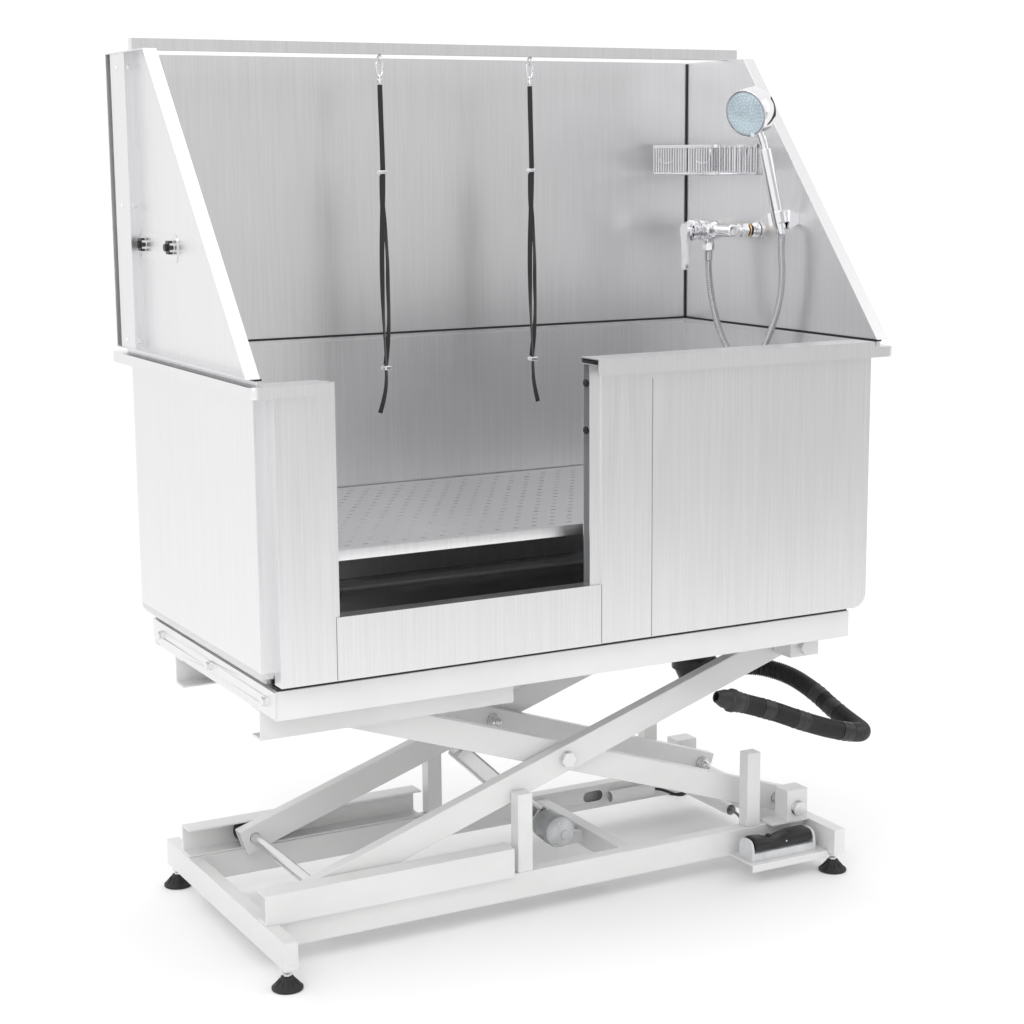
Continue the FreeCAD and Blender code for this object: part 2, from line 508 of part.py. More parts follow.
def rim():
    door_gap = slab((-499, -3), (RIM_FRONT - 5, TUB_FRONT + SHEET), (RIM_TOP - 50, RIM_TOP + 5))
    outer = slab((-RIM_X, RIM_X), (RIM_FRONT, RIM_BACK), (RIM_TOP - RIM_LIP, RIM_TOP))
    under = slab((-RIM_X + SHEET, RIM_X - SHEET), (RIM_FRONT + SHEET, RIM_BACK - SHEET),
                 (RIM_TOP - RIM_LIP - 1, RIM_TOP - SHEET))
    opening = slab((-TUB_X + SHEET, TUB_X - SHEET), (TUB_FRONT + SHEET, TUB_BACK - SHEET),
                   (RIM_TOP - 50, RIM_TOP + 5))
    ring_shape = round_edges(outer, 12, upright).cut(round_edges(under, 10, upright))
    ring_shape = ring_shape.cut(opening).cut(door_gap)
    seal_z = (SPLASH_BOTTOM - 3, SPLASH_BOTTOM)
    seals = [slab((side * 614 - 6, side * 614 + 6), (SPLASH_FRONT_LOW, SPLASH_BACK + 6), seal_z)
             for side in (-1, 1)]
    seals.append(slab((-608, 608), (SPLASH_BACK - 3, SPLASH_BACK + 6), seal_z))
    save("splash_seals", *seals)
    cap = slab((-3, 590), (RIM_FRONT, TUB_FRONT + 5), (RIM_TOP, RIM_TOP + CAP_RISE))
    cap = cap.cut(slab((-4, 588), (RIM_FRONT + SHEET, TUB_FRONT + 3),
                       (RIM_TOP - 1, RIM_TOP + CAP_RISE - SHEET)))
    save("rim", ring_shape, cap)


def splash_walls():
    outline = [(SPLASH_FRONT_LOW, SPLASH_BOTTOM), (SPLASH_BACK + 10, SPLASH_BOTTOM),
               (SPLASH_BACK + 10, SPLASH_TOP), (SPLASH_FRONT_HIGH, SPLASH_TOP)]
    slant = math.atan2(SPLASH_TOP - SPLASH_BOTTOM, SPLASH_FRONT_HIGH - SPLASH_FRONT_LOW)
    shift_low = SHEET / math.tan(slant / 2)
    shift_high = SHEET * math.tan(slant / 2)
    inset = [(SPLASH_FRONT_LOW + shift_low, SPLASH_BOTTOM + SHEET),
             (SPLASH_BACK + 10 - SHEET, SPLASH_BOTTOM + SHEET),
             (SPLASH_BACK + 10 - SHEET, SPLASH_TOP - SHEET),
             (SPLASH_FRONT_HIGH + shift_high, SPLASH_TOP - SHEET)]
    trays = []
    kerb_z = (RIM_TOP, SPLASH_BOTTOM - 3)
    for side in (-1, 1):
        near, far = side * TUB_X, side * (TUB_X + SPLASH_DEPTH)
        trays.append(plate(outline, "x", near, far).cut(plate(inset, "x", near + side * SHEET, far + side)))
        trays.append(slab((side * 613 - 4, side * 613 + 4), (SPLASH_FRONT_LOW, SPLASH_BACK + 6), kerb_z))
    save("splash_sides", *trays)
    back_x, back_z = (-TUB_X, TUB_X), (SPLASH_BOTTOM, SPLASH_TOP)
    back = slab(back_x, (SPLASH_BACK - SHEET, SPLASH_BACK + 10), back_z)
    back = back.cut(slab((-TUB_X + SHEET, TUB_X - SHEET), (SPLASH_BACK, SPLASH_BACK + 11),
                         (SPLASH_BOTTOM + SHEET, SPLASH_TOP - SHEET)))
    save("splash_back", back, slab((-609, 609), (SPLASH_BACK, SPLASH_BACK + 6), kerb_z))

    posts = []
    screws = []
    for side in (-1, 1):
        x = tuple(sorted((side * (TUB_X + SHEET), side * (TUB_X + 21))))
        posts.append(hollow(x, (224, 305), (SPLASH_BOTTOM + SHEET, SPLASH_TOP - SHEET)))
        for height in (1055, 1298, 1540):
            face = side * (TUB_X + 21)
            screws.append(cone(5, 3.5, V(face, 271, height), V(face + side * 2.5, 271, height)))
            screws.append(cone(5, 3.5, V(side * 622, 224, height), V(side * 622, 221.5, height)))
    save("side_wall_fittings", *posts, *screws, *wall_plugs())

    bar = hollow((-RIM_X, RIM_X), BAR_Y, (SPLASH_TOP, SPLASH_TOP + BAR_SIZE))
    eyes = [Part.makeTorus(7, 1.8, V(x, LEASH_Y, EYE_Z), AXIS_X).cut(
        slab((x - 9, x + 9), (LEASH_Y - 12, LEASH_Y + 12), (SPLASH_TOP, SPLASH_TOP + 9))) for x in LEASH_X]
    save("top_bar", bar, *eyes)


def wall_plugs():
    face = -TUB_X - SHEET
    backing = slab((face - 2, face), (28, 223), (1204, 1252))
    backing = round_edges(backing, 12, lambda e: e.BoundBox.XLength > 1)
    plugs = [hexagon(22, V(face - 2, y, MIXER_Z), V(face - 10, y, MIXER_Z)).fuse(
        rod(6, V(face - 10, y, MIXER_Z), V(face - 15, y, MIXER_Z))) for y in (52, 202)]
    return [backing] + plugs


def grates():
    for name, x in (("left", (-600, GRATE_SEAM - 1.5)), ("right", (GRATE_SEAM + 1.5, 600))):
        y = (GRATE_FRONT, TUB_BACK - 8)
        z = (GRATE_TOP - GRATE_THICK, GRATE_TOP)
        panel = slab(x, y, z).cut(slab((x[0] + SHEET, x[1] - SHEET), (y[0] + SHEET, y[1] - SHEET),
                                       (z[0] - 1, z[1] - SHEET)))
        slots = []
        for row in range(9):
            for column in range(int((x[1] - x[0] - 60) / 60)):
                slot_x = x[0] + 45 + 60 * column + 30 * (row % 2)
                slot_y = y[0] + 45 + 60 * row
                slots.append(slab((slot_x, slot_x + 22), (slot_y, slot_y + 6), (z[1] - 3, z[1] + 1)))
        legs = []
        for leg_x in (x[0] + 40, x[1] - 40):
            for leg_y in (y[0] + 60, y[1] - 60):
                legs.append(rod(9, V(leg_x, leg_y, TUB_BOTTOM + SHEET + 0.3), V(leg_x, leg_y, z[1] - SHEET)))
        panel = panel.cut(Part.makeCompound(slots))
        for leg in legs:
            panel = panel.fuse(leg)
        save("grate_" + name, panel)


# ---- drain --------------------------------------------------------------------------------------
TRAP_BOTTOM, TRAP_R, OUTLET_Z, DRAIN_HOSE_R = 358.0, 38.0, 372.0, 19.0
DRAIN_ROUTE = [(446, -60, 372), (515, -62, 371), (575, -118, 358), (601, -180, 330), (608, -235, 304),
               (615, -290, 286), (608, -326, 283), (580, -338, 288), (520, -338, 304), (447, -337, 332),
               (379, -334, 362), (308, -332, 386)]


def drain():
    def at(z):
        return V(DRAIN_X, DRAIN_Y, z)
    flange = ring(56, 38, at(TUB_BOTTOM - 4), at(TUB_BOTTOM))
    neck = ring(TRAP_R + 4, TRAP_R, at(TRAP_BOTTOM + 42), at(TUB_BOTTOM))
    bowl = rod(TRAP_R + 6, at(TRAP_BOTTOM + 22), at(TRAP_BOTTOM + 42)).fuse(
        cone(TRAP_R - 8, TRAP_R + 2, at(TRAP_BOTTOM), at(TRAP_BOTTOM + 22)))
    bowl = bowl.cut(rod(TRAP_R - 8, at(TRAP_BOTTOM + 4), at(TRAP_BOTTOM + 43)))
    outlet_axis = (V(DRAIN_X + 20, DRAIN_Y, OUTLET_Z), V(DRAIN_ROUTE[0][0], DRAIN_Y, OUTLET_Z))
    outlet = rod(DRAIN_HOSE_R + 2, V(DRAIN_X + 33, DRAIN_Y, OUTLET_Z), outlet_axis[1])
    strainer = rod(TRAP_R - 0.2, at(TUB_BOTTOM - 2), at(TUB_BOTTOM + 1))
    for turn in range(6):
        offset = V(20 * math.cos(turn * math.pi / 3), 20 * math.sin(turn * math.pi / 3), 0)
        strainer = strainer.cut(rod(4, at(TUB_BOTTOM - 3) + offset, at(TUB_BOTTOM + 2) + offset))
    trap = neck.fuse(flange).fuse(bowl).fuse(outlet).cut(rod(DRAIN_HOSE_R - 3, *outlet_axis))
    save("drain_trap", trap.removeSplitter(), strainer)
    cord("drain_hose", DRAIN_HOSE_R, DRAIN_ROUTE)
    end, before = V(*DRAIN_ROUTE[-1]), V(*DRAIN_ROUTE[-2])
    way = end - before
    way.normalize()
    tip = cone(DRAIN_HOSE_R + 4, DRAIN_HOSE_R + 2, end, end + way * 22).fuse(
        cone(DRAIN_HOSE_R + 2, 9, end + way * 22, end + way * 48))
    save("drain_connector", tip.cut(rod(7, end + way, end + way * 50)))


# ---- shower and fittings ------------------------------------------------------------------------
HANDLE_LOW, HANDLE_HIGH = V(575, -76, 1236), V(553, -42, 1412)
HEAD_CENTRE, HEAD_FACING = V(514, -40, 1456), V(-0.90, -0.34, -0.26)
HOLDER_HALF = 19.0
HEAD_DEPTH, HANDLE_R_LOW, HANDLE_R_HIGH, HOLDER_GAP = 38.0, 11.5, 12.5, 0.3
SHOWER_ROUTE = [(545, 127, 1188), (545, 128, 1150), (545, 117, 1098), (546, 94, 1038), (550, 58, 985),
                (556, 15, 957), (565, -28, 985), (571, -58, 1040), (576, -78, 1098), (576, -84, 1152),
                (574, -80, 1196), (576.5, -78.3, 1224)]


SHOWER_HOSE_R = 6.5


def mixer():
    def at(x, y, z=MIXER_Z):
        return V(x, y, z)
    body = rod(13, at(MIXER_X, 38), at(MIXER_X, 216)).fuse(rod(18, at(MIXER_X, 92), at(MIXER_X, 162)))
    body = body.fuse(rod(22, at(MIXER_X + 8, MIXER_Y), at(MIXER_X - 30, MIXER_Y)))
    for y in (52, 202):
        body = body.fuse(rod(10, at(MIXER_X, y), at(TUB_X - 8, y)))
        body = body.fuse(hexagon(30, at(TUB_X - 26, y), at(TUB_X - 10, y)))
        body = body.fuse(rod(17, at(TUB_X - 8, y), at(TUB_X, y)))
    body = body.fuse(rod(11, at(MIXER_X, MIXER_Y), at(MIXER_X, MIXER_Y, MIXER_Z - 30)))
    outlet_nut = hexagon(20, at(MIXER_X, MIXER_Y, MIXER_Z - 42), at(MIXER_X, MIXER_Y, MIXER_Z - 28))
    save("mixer_body", body.fuse(outlet_nut).removeSplitter())

    front = MIXER_X - 30.3
    cap = rod(21, at(front, MIXER_Y), at(front - 16, MIXER_Y))
    cap = cap.cut(slab((front - 17, front - 6), (MIXER_Y - 7.3, MIXER_Y + 7.3), (MIXER_Z - 22, MIXER_Z + 22)))
    save("mixer_cap", cap)
    lever = slab((front - 24, front - 9), (MIXER_Y - 7, MIXER_Y + 7), (MIXER_Z - 12, MIXER_Z + 5))
    blade = slab((front - 30, front - 22), (MIXER_Y - 9, MIXER_Y + 9), (MIXER_Z - 80, MIXER_Z + 14))
    save("mixer_lever", lever.fuse(blade).removeSplitter())


def shower():
    handle = cone(HANDLE_R_LOW, HANDLE_R_HIGH, HANDLE_LOW, HANDLE_HIGH)
    facing = V(HEAD_FACING)
    facing.normalize()
    shoulder = HEAD_CENTRE - facing * HEAD_DEPTH
    head = rod(46, shoulder, HEAD_CENTRE).fuse(cone(20, 46, shoulder - facing * 12, shoulder))
    neck = rod(11.5, HANDLE_HIGH, HEAD_CENTRE - facing * HEAD_DEPTH / 2)
    neck = neck.fuse(Part.makeSphere(13.5, HANDLE_HIGH))
    way = HANDLE_HIGH - HANDLE_LOW
    way.normalize()
    nut = rod(9.2, HANDLE_LOW - way * 10.5, HANDLE_LOW + way * 2)
    save("shower_handset", handle.fuse([head, neck, nut]).removeSplitter())

    middle = HANDLE_LOW + way * 22
    x, z = middle.x, middle.z
    outline = [(x - 21, z - 11), (x - 17, z + 12), (x + 2, z + 19), (TUB_X, z + 6), (TUB_X, z - 12),
               (x + 14, z - 22), (x - 10, z - 20)]
    block = plate(outline, "y", middle.y - HOLDER_HALF, middle.y + HOLDER_HALF)
    clearance = cone(HANDLE_R_LOW + HOLDER_GAP, HANDLE_R_HIGH + HOLDER_GAP, HANDLE_LOW, HANDLE_HIGH)
    hose_way = rod(9.6, HANDLE_LOW - way * 40, HANDLE_LOW + way)
    slot = slab((x - 40, x), (middle.y - 7, middle.y + 7), (z - 40, z + 40))
    save("shower_holder", block.cut(clearance).cut(hose_way).cut(slot))
    cord("shower_hose", SHOWER_HOSE_R, SHOWER_ROUTE)


BASKET_X, BASKET_Y, BASKET_Z = (502.0, 606.9), (46.0, 275.0), (1340.0, 1396.0)


def basket():
    """Wire shelf basket: top and bottom hoops, upright wires and floor wires."""
    x0, x1 = BASKET_X
    y0, y1 = BASKET_Y
    wires = []
    for z, hoop_r in zip(BASKET_Z, (2.2, 3.0)):
        corners = [V(x0, y0, z), V(x1, y0, z), V(x1, y1, z), V(x0, y1, z), V(x0, y0, z)]
        wires += [rod(hoop_r, a, b) for a, b in zip(corners, corners[1:])]
        wires += [Part.makeSphere(hoop_r, corner) for corner in corners[:4]]
    low, high = BASKET_Z
    for i in range(1, 16):
        y = y0 + (y1 - y0) * i / 16
        wires += [rod(1.5, V(x0, y, low), V(x0, y, high)), rod(1.5, V(x0, y, low), V(x1, y, low))]
    for i in range(1, 8):
        x = x0 + (x1 - x0) * i / 8
        wires += [rod(1.5, V(x, y, low), V(x, y, high)) for y in (y0, y1)]
    basket_shape = wires[0].multiFuse(wires[1:])
    save("wire_basket", basket_shape)


# ---- leashes ------------------------------------------------------------------------------------
CLIP_TOP = EYE_Z - 3.0
BEAD_Z, RING_Z, STRAP_R = 1352.0, 985.0, 4.0
STRAP_GAP = 9.0                # between a loop's two strands, front to back


def clip_ring(x):
    """A snap hook drawn as a long ring, its wire centred 7 mm either side."""
    top, low = CLIP_TOP - 7, 1529.0
    arcs = []
    for z, sign in ((top, 1), (low, -1)):
        half = Part.makeTorus(7, 2, V(x, LEASH_Y, z), AXIS_Y)
        span = (z, z + 12) if sign > 0 else (z - 12, z)
        arcs.append(half.common(slab((x - 12, x + 12), (LEASH_Y - 5, LEASH_Y + 5), span)))
    legs = [rod(2, V(x + dx, LEASH_Y, low), V(x + dx, LEASH_Y, top)) for dx in (-7, 7)]
    hook = arcs[0].multiFuse(arcs[1:] + legs)
    return hook.fuse(rod(5, V(x, LEASH_Y, 1512), V(x, LEASH_Y, 1521)))


def leashes():
    for name, x in (("left", LEASH_X[0]), ("right", LEASH_X[1])):
        turn = 12 if name == "right" else -14
        depth = (LEASH_Y - 10, LEASH_Y + 10)
        bead = slab((x - 6, x + 8), depth, (BEAD_Z - 4, BEAD_Z + 4))
        slide_ring = slab((x - 5, x + 11), depth, (RING_Z - 4, RING_Z + 4))
        save("leash_fittings_" + name, clip_ring(x), bead, slide_ring)
        front, rear = LEASH_Y - STRAP_GAP / 2, LEASH_Y + STRAP_GAP / 2
        main = [(x, LEASH_Y, 1512), (x + 1, LEASH_Y, 1455), (x + 2, LEASH_Y - 1, 1395), (x + 1, front, 1335),
                (x - 2, front - 1, 1275), (x - 4, front, 1215), (x - 5, front - 1, 1155), (x - 4, front, 1095),
                (x - 2, front - 1, 1035), (x + 1, front, 975), (x + turn / 6, front - 1, 935),
                (x + turn, front, 900)]
        cord("leash_strap_" + name, STRAP_R, main)
        loop = [(x + 3, rear, 1346), (x + 2, rear + 1, 1300), (x + 8, rear, 1245), (x + 12, rear + 1, 1190),
                (x + 11, rear, 1135), (x + 13, rear + 1, 1080), (x + 9, rear, 1030), (x + 4, rear + 1, 990)]
        cord("leash_loop_" + name, STRAP_R, loop)


# ---- lift cables --------------------------------------------------------------------------------
def cables():
    rear_face = LIFT_Y + RAIL_IN
    cord("link_cable", 3.0, [(427, rear_face - 14, 64), (441, rear_face - 17, 63), (457, rear_face - 30, 57),
                             (472, rear_face - 37, 50), (492, rear_face - 32, 45), (512, rear_face - 20, 47),
                             (528, rear_face - 12, 50), (541, rear_face - 7, 52)])
    cord("pedal_cable", 3.0, [(487, -61, 68), (488, -79, 66), (486, -98, 60), (485, -118, 50), (481, -138, 41),
                              (479, -158, 35), (474, -178, 31), (471, -198, 31), (467, -215, 33), (465, -228, 40)])


base_frame()
tracks("base_tracks", (BASE_TOP, BASE_TOP + TRACK_H))
stop_posts()
lower_pivots()
feet()
pedal()
conduits()
scissor()
actuator()
top_frame()
tub()
door_frame()
rim()
splash_walls()
grates()
drain()
mixer()
shower()
basket()
leashes()
cables()
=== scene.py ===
import json
import math

import bmesh
import bpy
from mathutils import Matrix, Vector


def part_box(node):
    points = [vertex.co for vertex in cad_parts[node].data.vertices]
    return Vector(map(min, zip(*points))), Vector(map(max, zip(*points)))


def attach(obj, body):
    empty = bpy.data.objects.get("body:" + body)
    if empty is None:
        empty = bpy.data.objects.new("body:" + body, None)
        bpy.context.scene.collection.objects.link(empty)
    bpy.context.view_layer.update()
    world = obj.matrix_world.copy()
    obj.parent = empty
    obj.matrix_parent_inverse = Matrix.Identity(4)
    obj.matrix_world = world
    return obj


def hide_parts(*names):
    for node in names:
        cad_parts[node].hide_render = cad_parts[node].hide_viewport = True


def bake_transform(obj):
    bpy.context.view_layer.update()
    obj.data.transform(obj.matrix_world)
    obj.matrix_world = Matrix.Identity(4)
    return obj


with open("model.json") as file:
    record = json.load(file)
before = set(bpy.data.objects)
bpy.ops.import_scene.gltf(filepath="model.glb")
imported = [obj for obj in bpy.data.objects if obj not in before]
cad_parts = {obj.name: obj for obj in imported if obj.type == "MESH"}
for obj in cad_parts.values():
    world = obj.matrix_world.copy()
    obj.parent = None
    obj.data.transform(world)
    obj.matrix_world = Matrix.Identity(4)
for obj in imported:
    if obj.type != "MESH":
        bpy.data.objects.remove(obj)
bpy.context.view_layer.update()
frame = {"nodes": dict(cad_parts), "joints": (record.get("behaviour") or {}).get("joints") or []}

# Looks for the pet-bathing table. Metres, in the CAD frame: +Z up, X along the tub, -Y the door side.
UP, AXIS_X, AXIS_Y = Vector((0, 0, 1)), Vector((1, 0, 0)), Vector((0, 1, 0))
MM = 0.001


def mm(*values):
    return Vector(values) * MM


# ---- camera -------------------------------------------------------------------------------------
def make_camera():
    yaw, pitch, roll = math.radians(28.38), math.radians(10.23), math.radians(-0.44)
    ahead = Vector((math.sin(yaw) * math.cos(pitch), math.cos(yaw) * math.cos(pitch), -math.sin(pitch)))
    level = Vector((math.cos(yaw), -math.sin(yaw), 0))
    over = level.cross(ahead)
    right = level * math.cos(roll) + over * math.sin(roll)
    above = over * math.cos(roll) - level * math.sin(roll)
    data = bpy.data.cameras.new("camera")
    data.lens, data.sensor_width = 70.1, 36.0
    data.clip_end = 60
    camera = bpy.data.objects.new("camera", data)
    bpy.context.scene.collection.objects.link(camera)
    turn = Matrix((right, above, -ahead)).transposed()
    camera.matrix_world = Matrix.Translation((-1.746, -3.266, 1.387)) @ turn.to_4x4()
    bpy.context.scene.camera = camera


make_camera()


# ---- materials ----------------------------------------------------------------------------------
class Shade:
    """A Principled material and the few nodes that its looks need."""

    def __init__(self, name, **values):
        self.material = bpy.data.materials.new(name)
        self.material.use_nodes = True
        self.tree = self.material.node_tree
        self.shader = self.tree.nodes["Principled BSDF"]
        for socket, value in values.items():
            self.shader.inputs[socket.replace("_", " ")].default_value = value
        self.place = self.tree.nodes.new("ShaderNodeTexCoord").outputs["Object"]

    def node(self, kind, **inputs):
        made = self.tree.nodes.new(kind)
        for name, value in inputs.items():
            socket = made.inputs[name.replace("_", " ")]
            if isinstance(value, bpy.types.NodeSocket):
                self.tree.links.new(value, socket)
            else:
                socket.default_value = value
        return made

    def noise(self, scale, detail=3.0, rough=0.55):
        """Noise with a scale for each axis, in repeats per metre."""
        where = self.node("ShaderNodeMapping", Vector=self.place, Scale=scale)
        made = self.node("ShaderNodeTexNoise", Vector=where.outputs[0], Scale=1.0, Detail=detail,
                         Roughness=rough)
        return made.outputs["Fac"]

    def spread(self, value, low, high, start=0.3, end=0.7):
        """The value, from start to end, mapped to low to high."""
        made = self.node("ShaderNodeMapRange", Value=value)
        for name, number in (("From Min", start), ("From Max", end), ("To Min", low), ("To Max", high)):
            made.inputs[name].default_value = number
        return made.outputs[0]

    def mix(self, share, a, b):
        """Between two numbers or number sockets."""
        made = self.node("ShaderNodeMix", Factor=share)
        for index, value in ((2, a), (3, b)):
            if isinstance(value, bpy.types.NodeSocket):
                self.tree.links.new(value, made.inputs[index])
            else:
                made.inputs[index].default_value = value
        return made.outputs[0]

    def grey(self, value, tint=(1, 1, 1)):
        """A colour from one number, tinted."""
        made = self.node("ShaderNodeCombineColor")
        for index, part in enumerate(tint):
            scaled = self.node("ShaderNodeMath")
            scaled.operation = "MULTIPLY"
            self.tree.links.new(value, scaled.inputs[0])
            scaled.inputs[1].default_value = part
            self.tree.links.new(scaled.outputs[0], made.inputs[index])
        return made.outputs[0]

    def drive(self, socket, value):
        self.tree.links.new(value, self.shader.inputs[socket])

    def bump(self, height, strength, distance):
        made = self.node("ShaderNodeBump", Height=height, Strength=strength, Distance=distance)
        self.tree.links.new(made.outputs[0], self.shader.inputs["Normal"])


def brushed(name, base=0.80, rough=0.34):
    """Stainless sheet: grain runs up the walls, and along X on level faces."""
    shade = Shade(name, Metallic=1.0)
    up_grain = shade.noise((420, 420, 5), detail=4)
    level_grain = shade.noise((6, 420, 420), detail=4)
    normal = shade.node("ShaderNodeNewGeometry").outputs["Normal"]
    rise = shade.node("ShaderNodeSeparateXYZ", Vector=normal).outputs["Z"]
    size = shade.node("ShaderNodeMath")
    size.operation = "ABSOLUTE"
    shade.tree.links.new(rise, size.inputs[0])
    grain = shade.mix(shade.spread(size.outputs[0], 0, 1, 0.65, 0.75), up_grain, level_grain)
    cloud = shade.noise((3.0, 3.0, 2.2), detail=2)
    tone = shade.mix(0.3, shade.spread(grain, base - 0.05, base + 0.05),
                     shade.spread(cloud, base - 0.03, base + 0.03))
    shade.drive("Base Color", shade.grey(tone, (1.0, 1.0, 1.01)))
    shade.drive("Roughness", shade.mix(0.4, shade.spread(grain, rough - 0.05, rough + 0.05),
                                       shade.spread(cloud, rough - 0.03, rough + 0.03)))
    shade.bump(grain, 0.10, 0.0001)
    return shade.material


def powder_coat():
    shade = Shade("white_powder_coat", Roughness=0.34)
    shade.shader.inputs["Coat Weight"].default_value = 0.15
    shade.shader.inputs["Coat Roughness"].default_value = 0.2
    peel = shade.noise((420, 420, 420), detail=2)
    soil = shade.noise((5, 5, 9), detail=4)
    shade.drive("Base Color", shade.grey(shade.spread(soil, 0.71, 0.76), (1.0, 1.0, 0.995)))
    shade.drive("Roughness", shade.spread(soil, 0.38, 0.30))
    shade.bump(peel, 0.12, 0.0003)
    return shade.material


def polished(name, tint=(0.86, 0.86, 0.88), rough=0.06):
    shade = Shade(name, Metallic=1.0)
    haze = shade.noise((60, 60, 60), detail=4)
    shade.drive("Base Color", shade.grey(shade.spread(haze, 0.95, 1.0), tint))
    shade.drive("Roughness", shade.spread(haze, rough * 0.7, rough * 1.5))
    return shade.material


def plastic(name, tint, rough=0.45, grain=900, relief=0.1):
    """Moulded plastic or rubber with a fine spark-eroded texture."""
    shade = Shade(name)
    fine = shade.noise((grain,) * 3, detail=3)
    wear = shade.noise((30, 30, 30), detail=4)
    shade.drive("Base Color", shade.grey(shade.spread(wear, 0.85, 1.15), tint))
    shade.drive("Roughness", shade.spread(wear, rough - 0.07, rough + 0.09))
    shade.bump(fine, relief, 0.0003)
    return shade.material


def webbing():
    """Nylon webbing: a diagonal rib weave about 1.2 mm apart."""
    shade = Shade("black_webbing", Roughness=0.75)
    shade.shader.inputs["Sheen Weight"].default_value = 0.25
    ribs = []
    for slant in (1, -1):
        where = shade.node("ShaderNodeMapping", Vector=shade.place, Rotation=(0, slant * math.radians(45), 0))
        made = shade.node("ShaderNodeTexWave", Vector=where.outputs[0], Scale=130.0, Distortion=0.4)
        ribs.append(made.outputs["Fac"])
    weave = shade.mix(0.5, *ribs)
    shade.drive("Base Color", shade.grey(shade.spread(weave, 0.006, 0.022, 0, 1)))
    shade.bump(weave, 0.5, 0.0004)
    return shade.material


STEEL = brushed("brushed_stainless")
# The tub's floor pan is the same brushed stainless. Its darker base colour (0.62 against 0.80) is painted
# shade inside the tub, and its roughness is lower.
STEEL_PAN_PAINTED_SHADE = brushed("brushed_stainless_pan_painted_shade", 0.62, 0.24)
WHITE = powder_coat()
CHROME = polished("polished_chrome")
HOSE_METAL = polished("shower_hose_metal", (0.50, 0.50, 0.52), 0.20)
ZINC = polished("bright_zinc", (0.74, 0.74, 0.75), 0.20)
BRASS = polished("turned_brass", (0.78, 0.57, 0.30), 0.18)
BLACK_RUBBER = plastic("black_rubber", (0.014, 0.014, 0.015), 0.55, 500, 0.15)
BLACK_PLASTIC = plastic("black_moulding", (0.012, 0.012, 0.013), 0.36)
HOSE_BLACK = plastic("hose_black", (0.018, 0.018, 0.020), 0.38, 700, 0.06)
CABLE_BLACK = plastic("cable_black", (0.012, 0.012, 0.012), 0.4)
CABLE_GREY = plastic("cable_grey", (0.20, 0.20, 0.21), 0.45)
LIGHT_PLASTIC = plastic("light_grey_moulding", (0.62, 0.63, 0.64), 0.38)
MOTOR_GREY = plastic("motor_grey", (0.36, 0.37, 0.38), 0.34, 500, 0.08)
FACE_BLUE = plastic("nozzle_plate", (0.50, 0.60, 0.66), 0.3)
NOZZLE = plastic("nozzle_silicone", (0.72, 0.79, 0.83), 0.35)
PROFILE = brushed("satin_aluminium", 0.66, 0.30)
WEBBING = webbing()


# ---- mesh helpers -------------------------------------------------------------------------------
SHARP = math.radians(38)


def piece(name, bm, material, body, replaces=()):
    """A finished mesh piece that rides on a body, with sharp edges kept by their angle."""
    bmesh.ops.recalc_face_normals(bm, faces=bm.faces)
    for edge in bm.edges:
        edge.smooth = len(edge.link_faces) == 2 and edge.calc_face_angle(0) < SHARP
    for face in bm.faces:
        face.smooth = True
    mesh = bpy.data.meshes.new(name)
    bm.to_mesh(mesh)
    bm.free()
    mesh.materials.append(material)
    made = bpy.data.objects.new(name, mesh)
    bpy.context.scene.collection.objects.link(made)
    if body:
        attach(made, body)
    if replaces:
        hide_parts(*replaces)
    return made


def basis(axis):
    """Two unit vectors square to an axis."""
    side = axis.cross(UP if abs(axis.z) < 0.9 else AXIS_X).normalized()
    return side, axis.cross(side).normalized()


def lathe(bm, profile, origin, axis, count=40):
    """Adds a turned shape: profile holds (distance along the axis, radius) pairs, in millimetres."""
    axis = axis.normalized()
    side, other = basis(axis)
    rows = []
    for along, radius in profile:
        centre = origin + axis * along * MM
        if radius < 0.01:
            rows.append([bm.verts.new(centre)])
            continue
        turns = [2 * math.pi * k / count for k in range(count)]
        rays = [side * math.cos(t) + other * math.sin(t) for t in turns]
        rows.append([bm.verts.new(centre + ray * radius * MM) for ray in rays])
    for a, b in zip(rows, rows[1:]):
        for k in range(count):
            ring = [a[k % len(a)], a[(k + 1) % len(a)], b[(k + 1) % len(b)], b[k % len(b)]]
            corners = list(dict.fromkeys(ring))
            if len(corners) > 2:
                bm.faces.new(corners)
    for row in (rows[0], rows[-1]):
        if len(row) > 1:
            bm.faces.new(row)


def block(bm, low, high, radius=2.0):
    """Adds a box with rounded edges between two corners, in millimetres."""
    made = bmesh.ops.create_cube(bm, size=1.0)["verts"]
    low, high = Vector(low) * MM, Vector(high) * MM
    size = high - low
    for vert in made:
        vert.co = (low + high) / 2 + Vector(a * b for a, b in zip(vert.co, size))
    edges = list({edge for vert in made for edge in vert.link_edges})
    bmesh.ops.bevel(bm, geom=edges, offset=radius * MM, segments=3, profile=0.5, affect="EDGES")


def hexagon(bm, across, origin, axis, length, chamfer=0.8):
    """Adds a hexagonal nut or bolt head with chamfered ends, in millimetres."""
    corner = across / math.sqrt(3)
    lathe(bm, [(0, corner - chamfer), (chamfer, corner), (length - chamfer, corner),
               (length, corner - chamfer)], origin, axis, 6)


def prism(bm, outline, origin, across, along, thickness):
    """Adds a flat shape: outline in millimetres on the across and along axes, thick on both sides."""
    normal = across.cross(along).normalized()
    rows = []
    for way in (-0.5, 0.5):
        rows.append([bm.verts.new(origin + (across * a + along * b + normal * thickness * way) * MM)
                     for a, b in outline])
    count = len(outline)
    for k in range(count):
        bm.faces.new([rows[0][k], rows[0][(k + 1) % count], rows[1][(k + 1) % count], rows[1][k]])
    bm.faces.new(rows[0])
    bm.faces.new(rows[1])


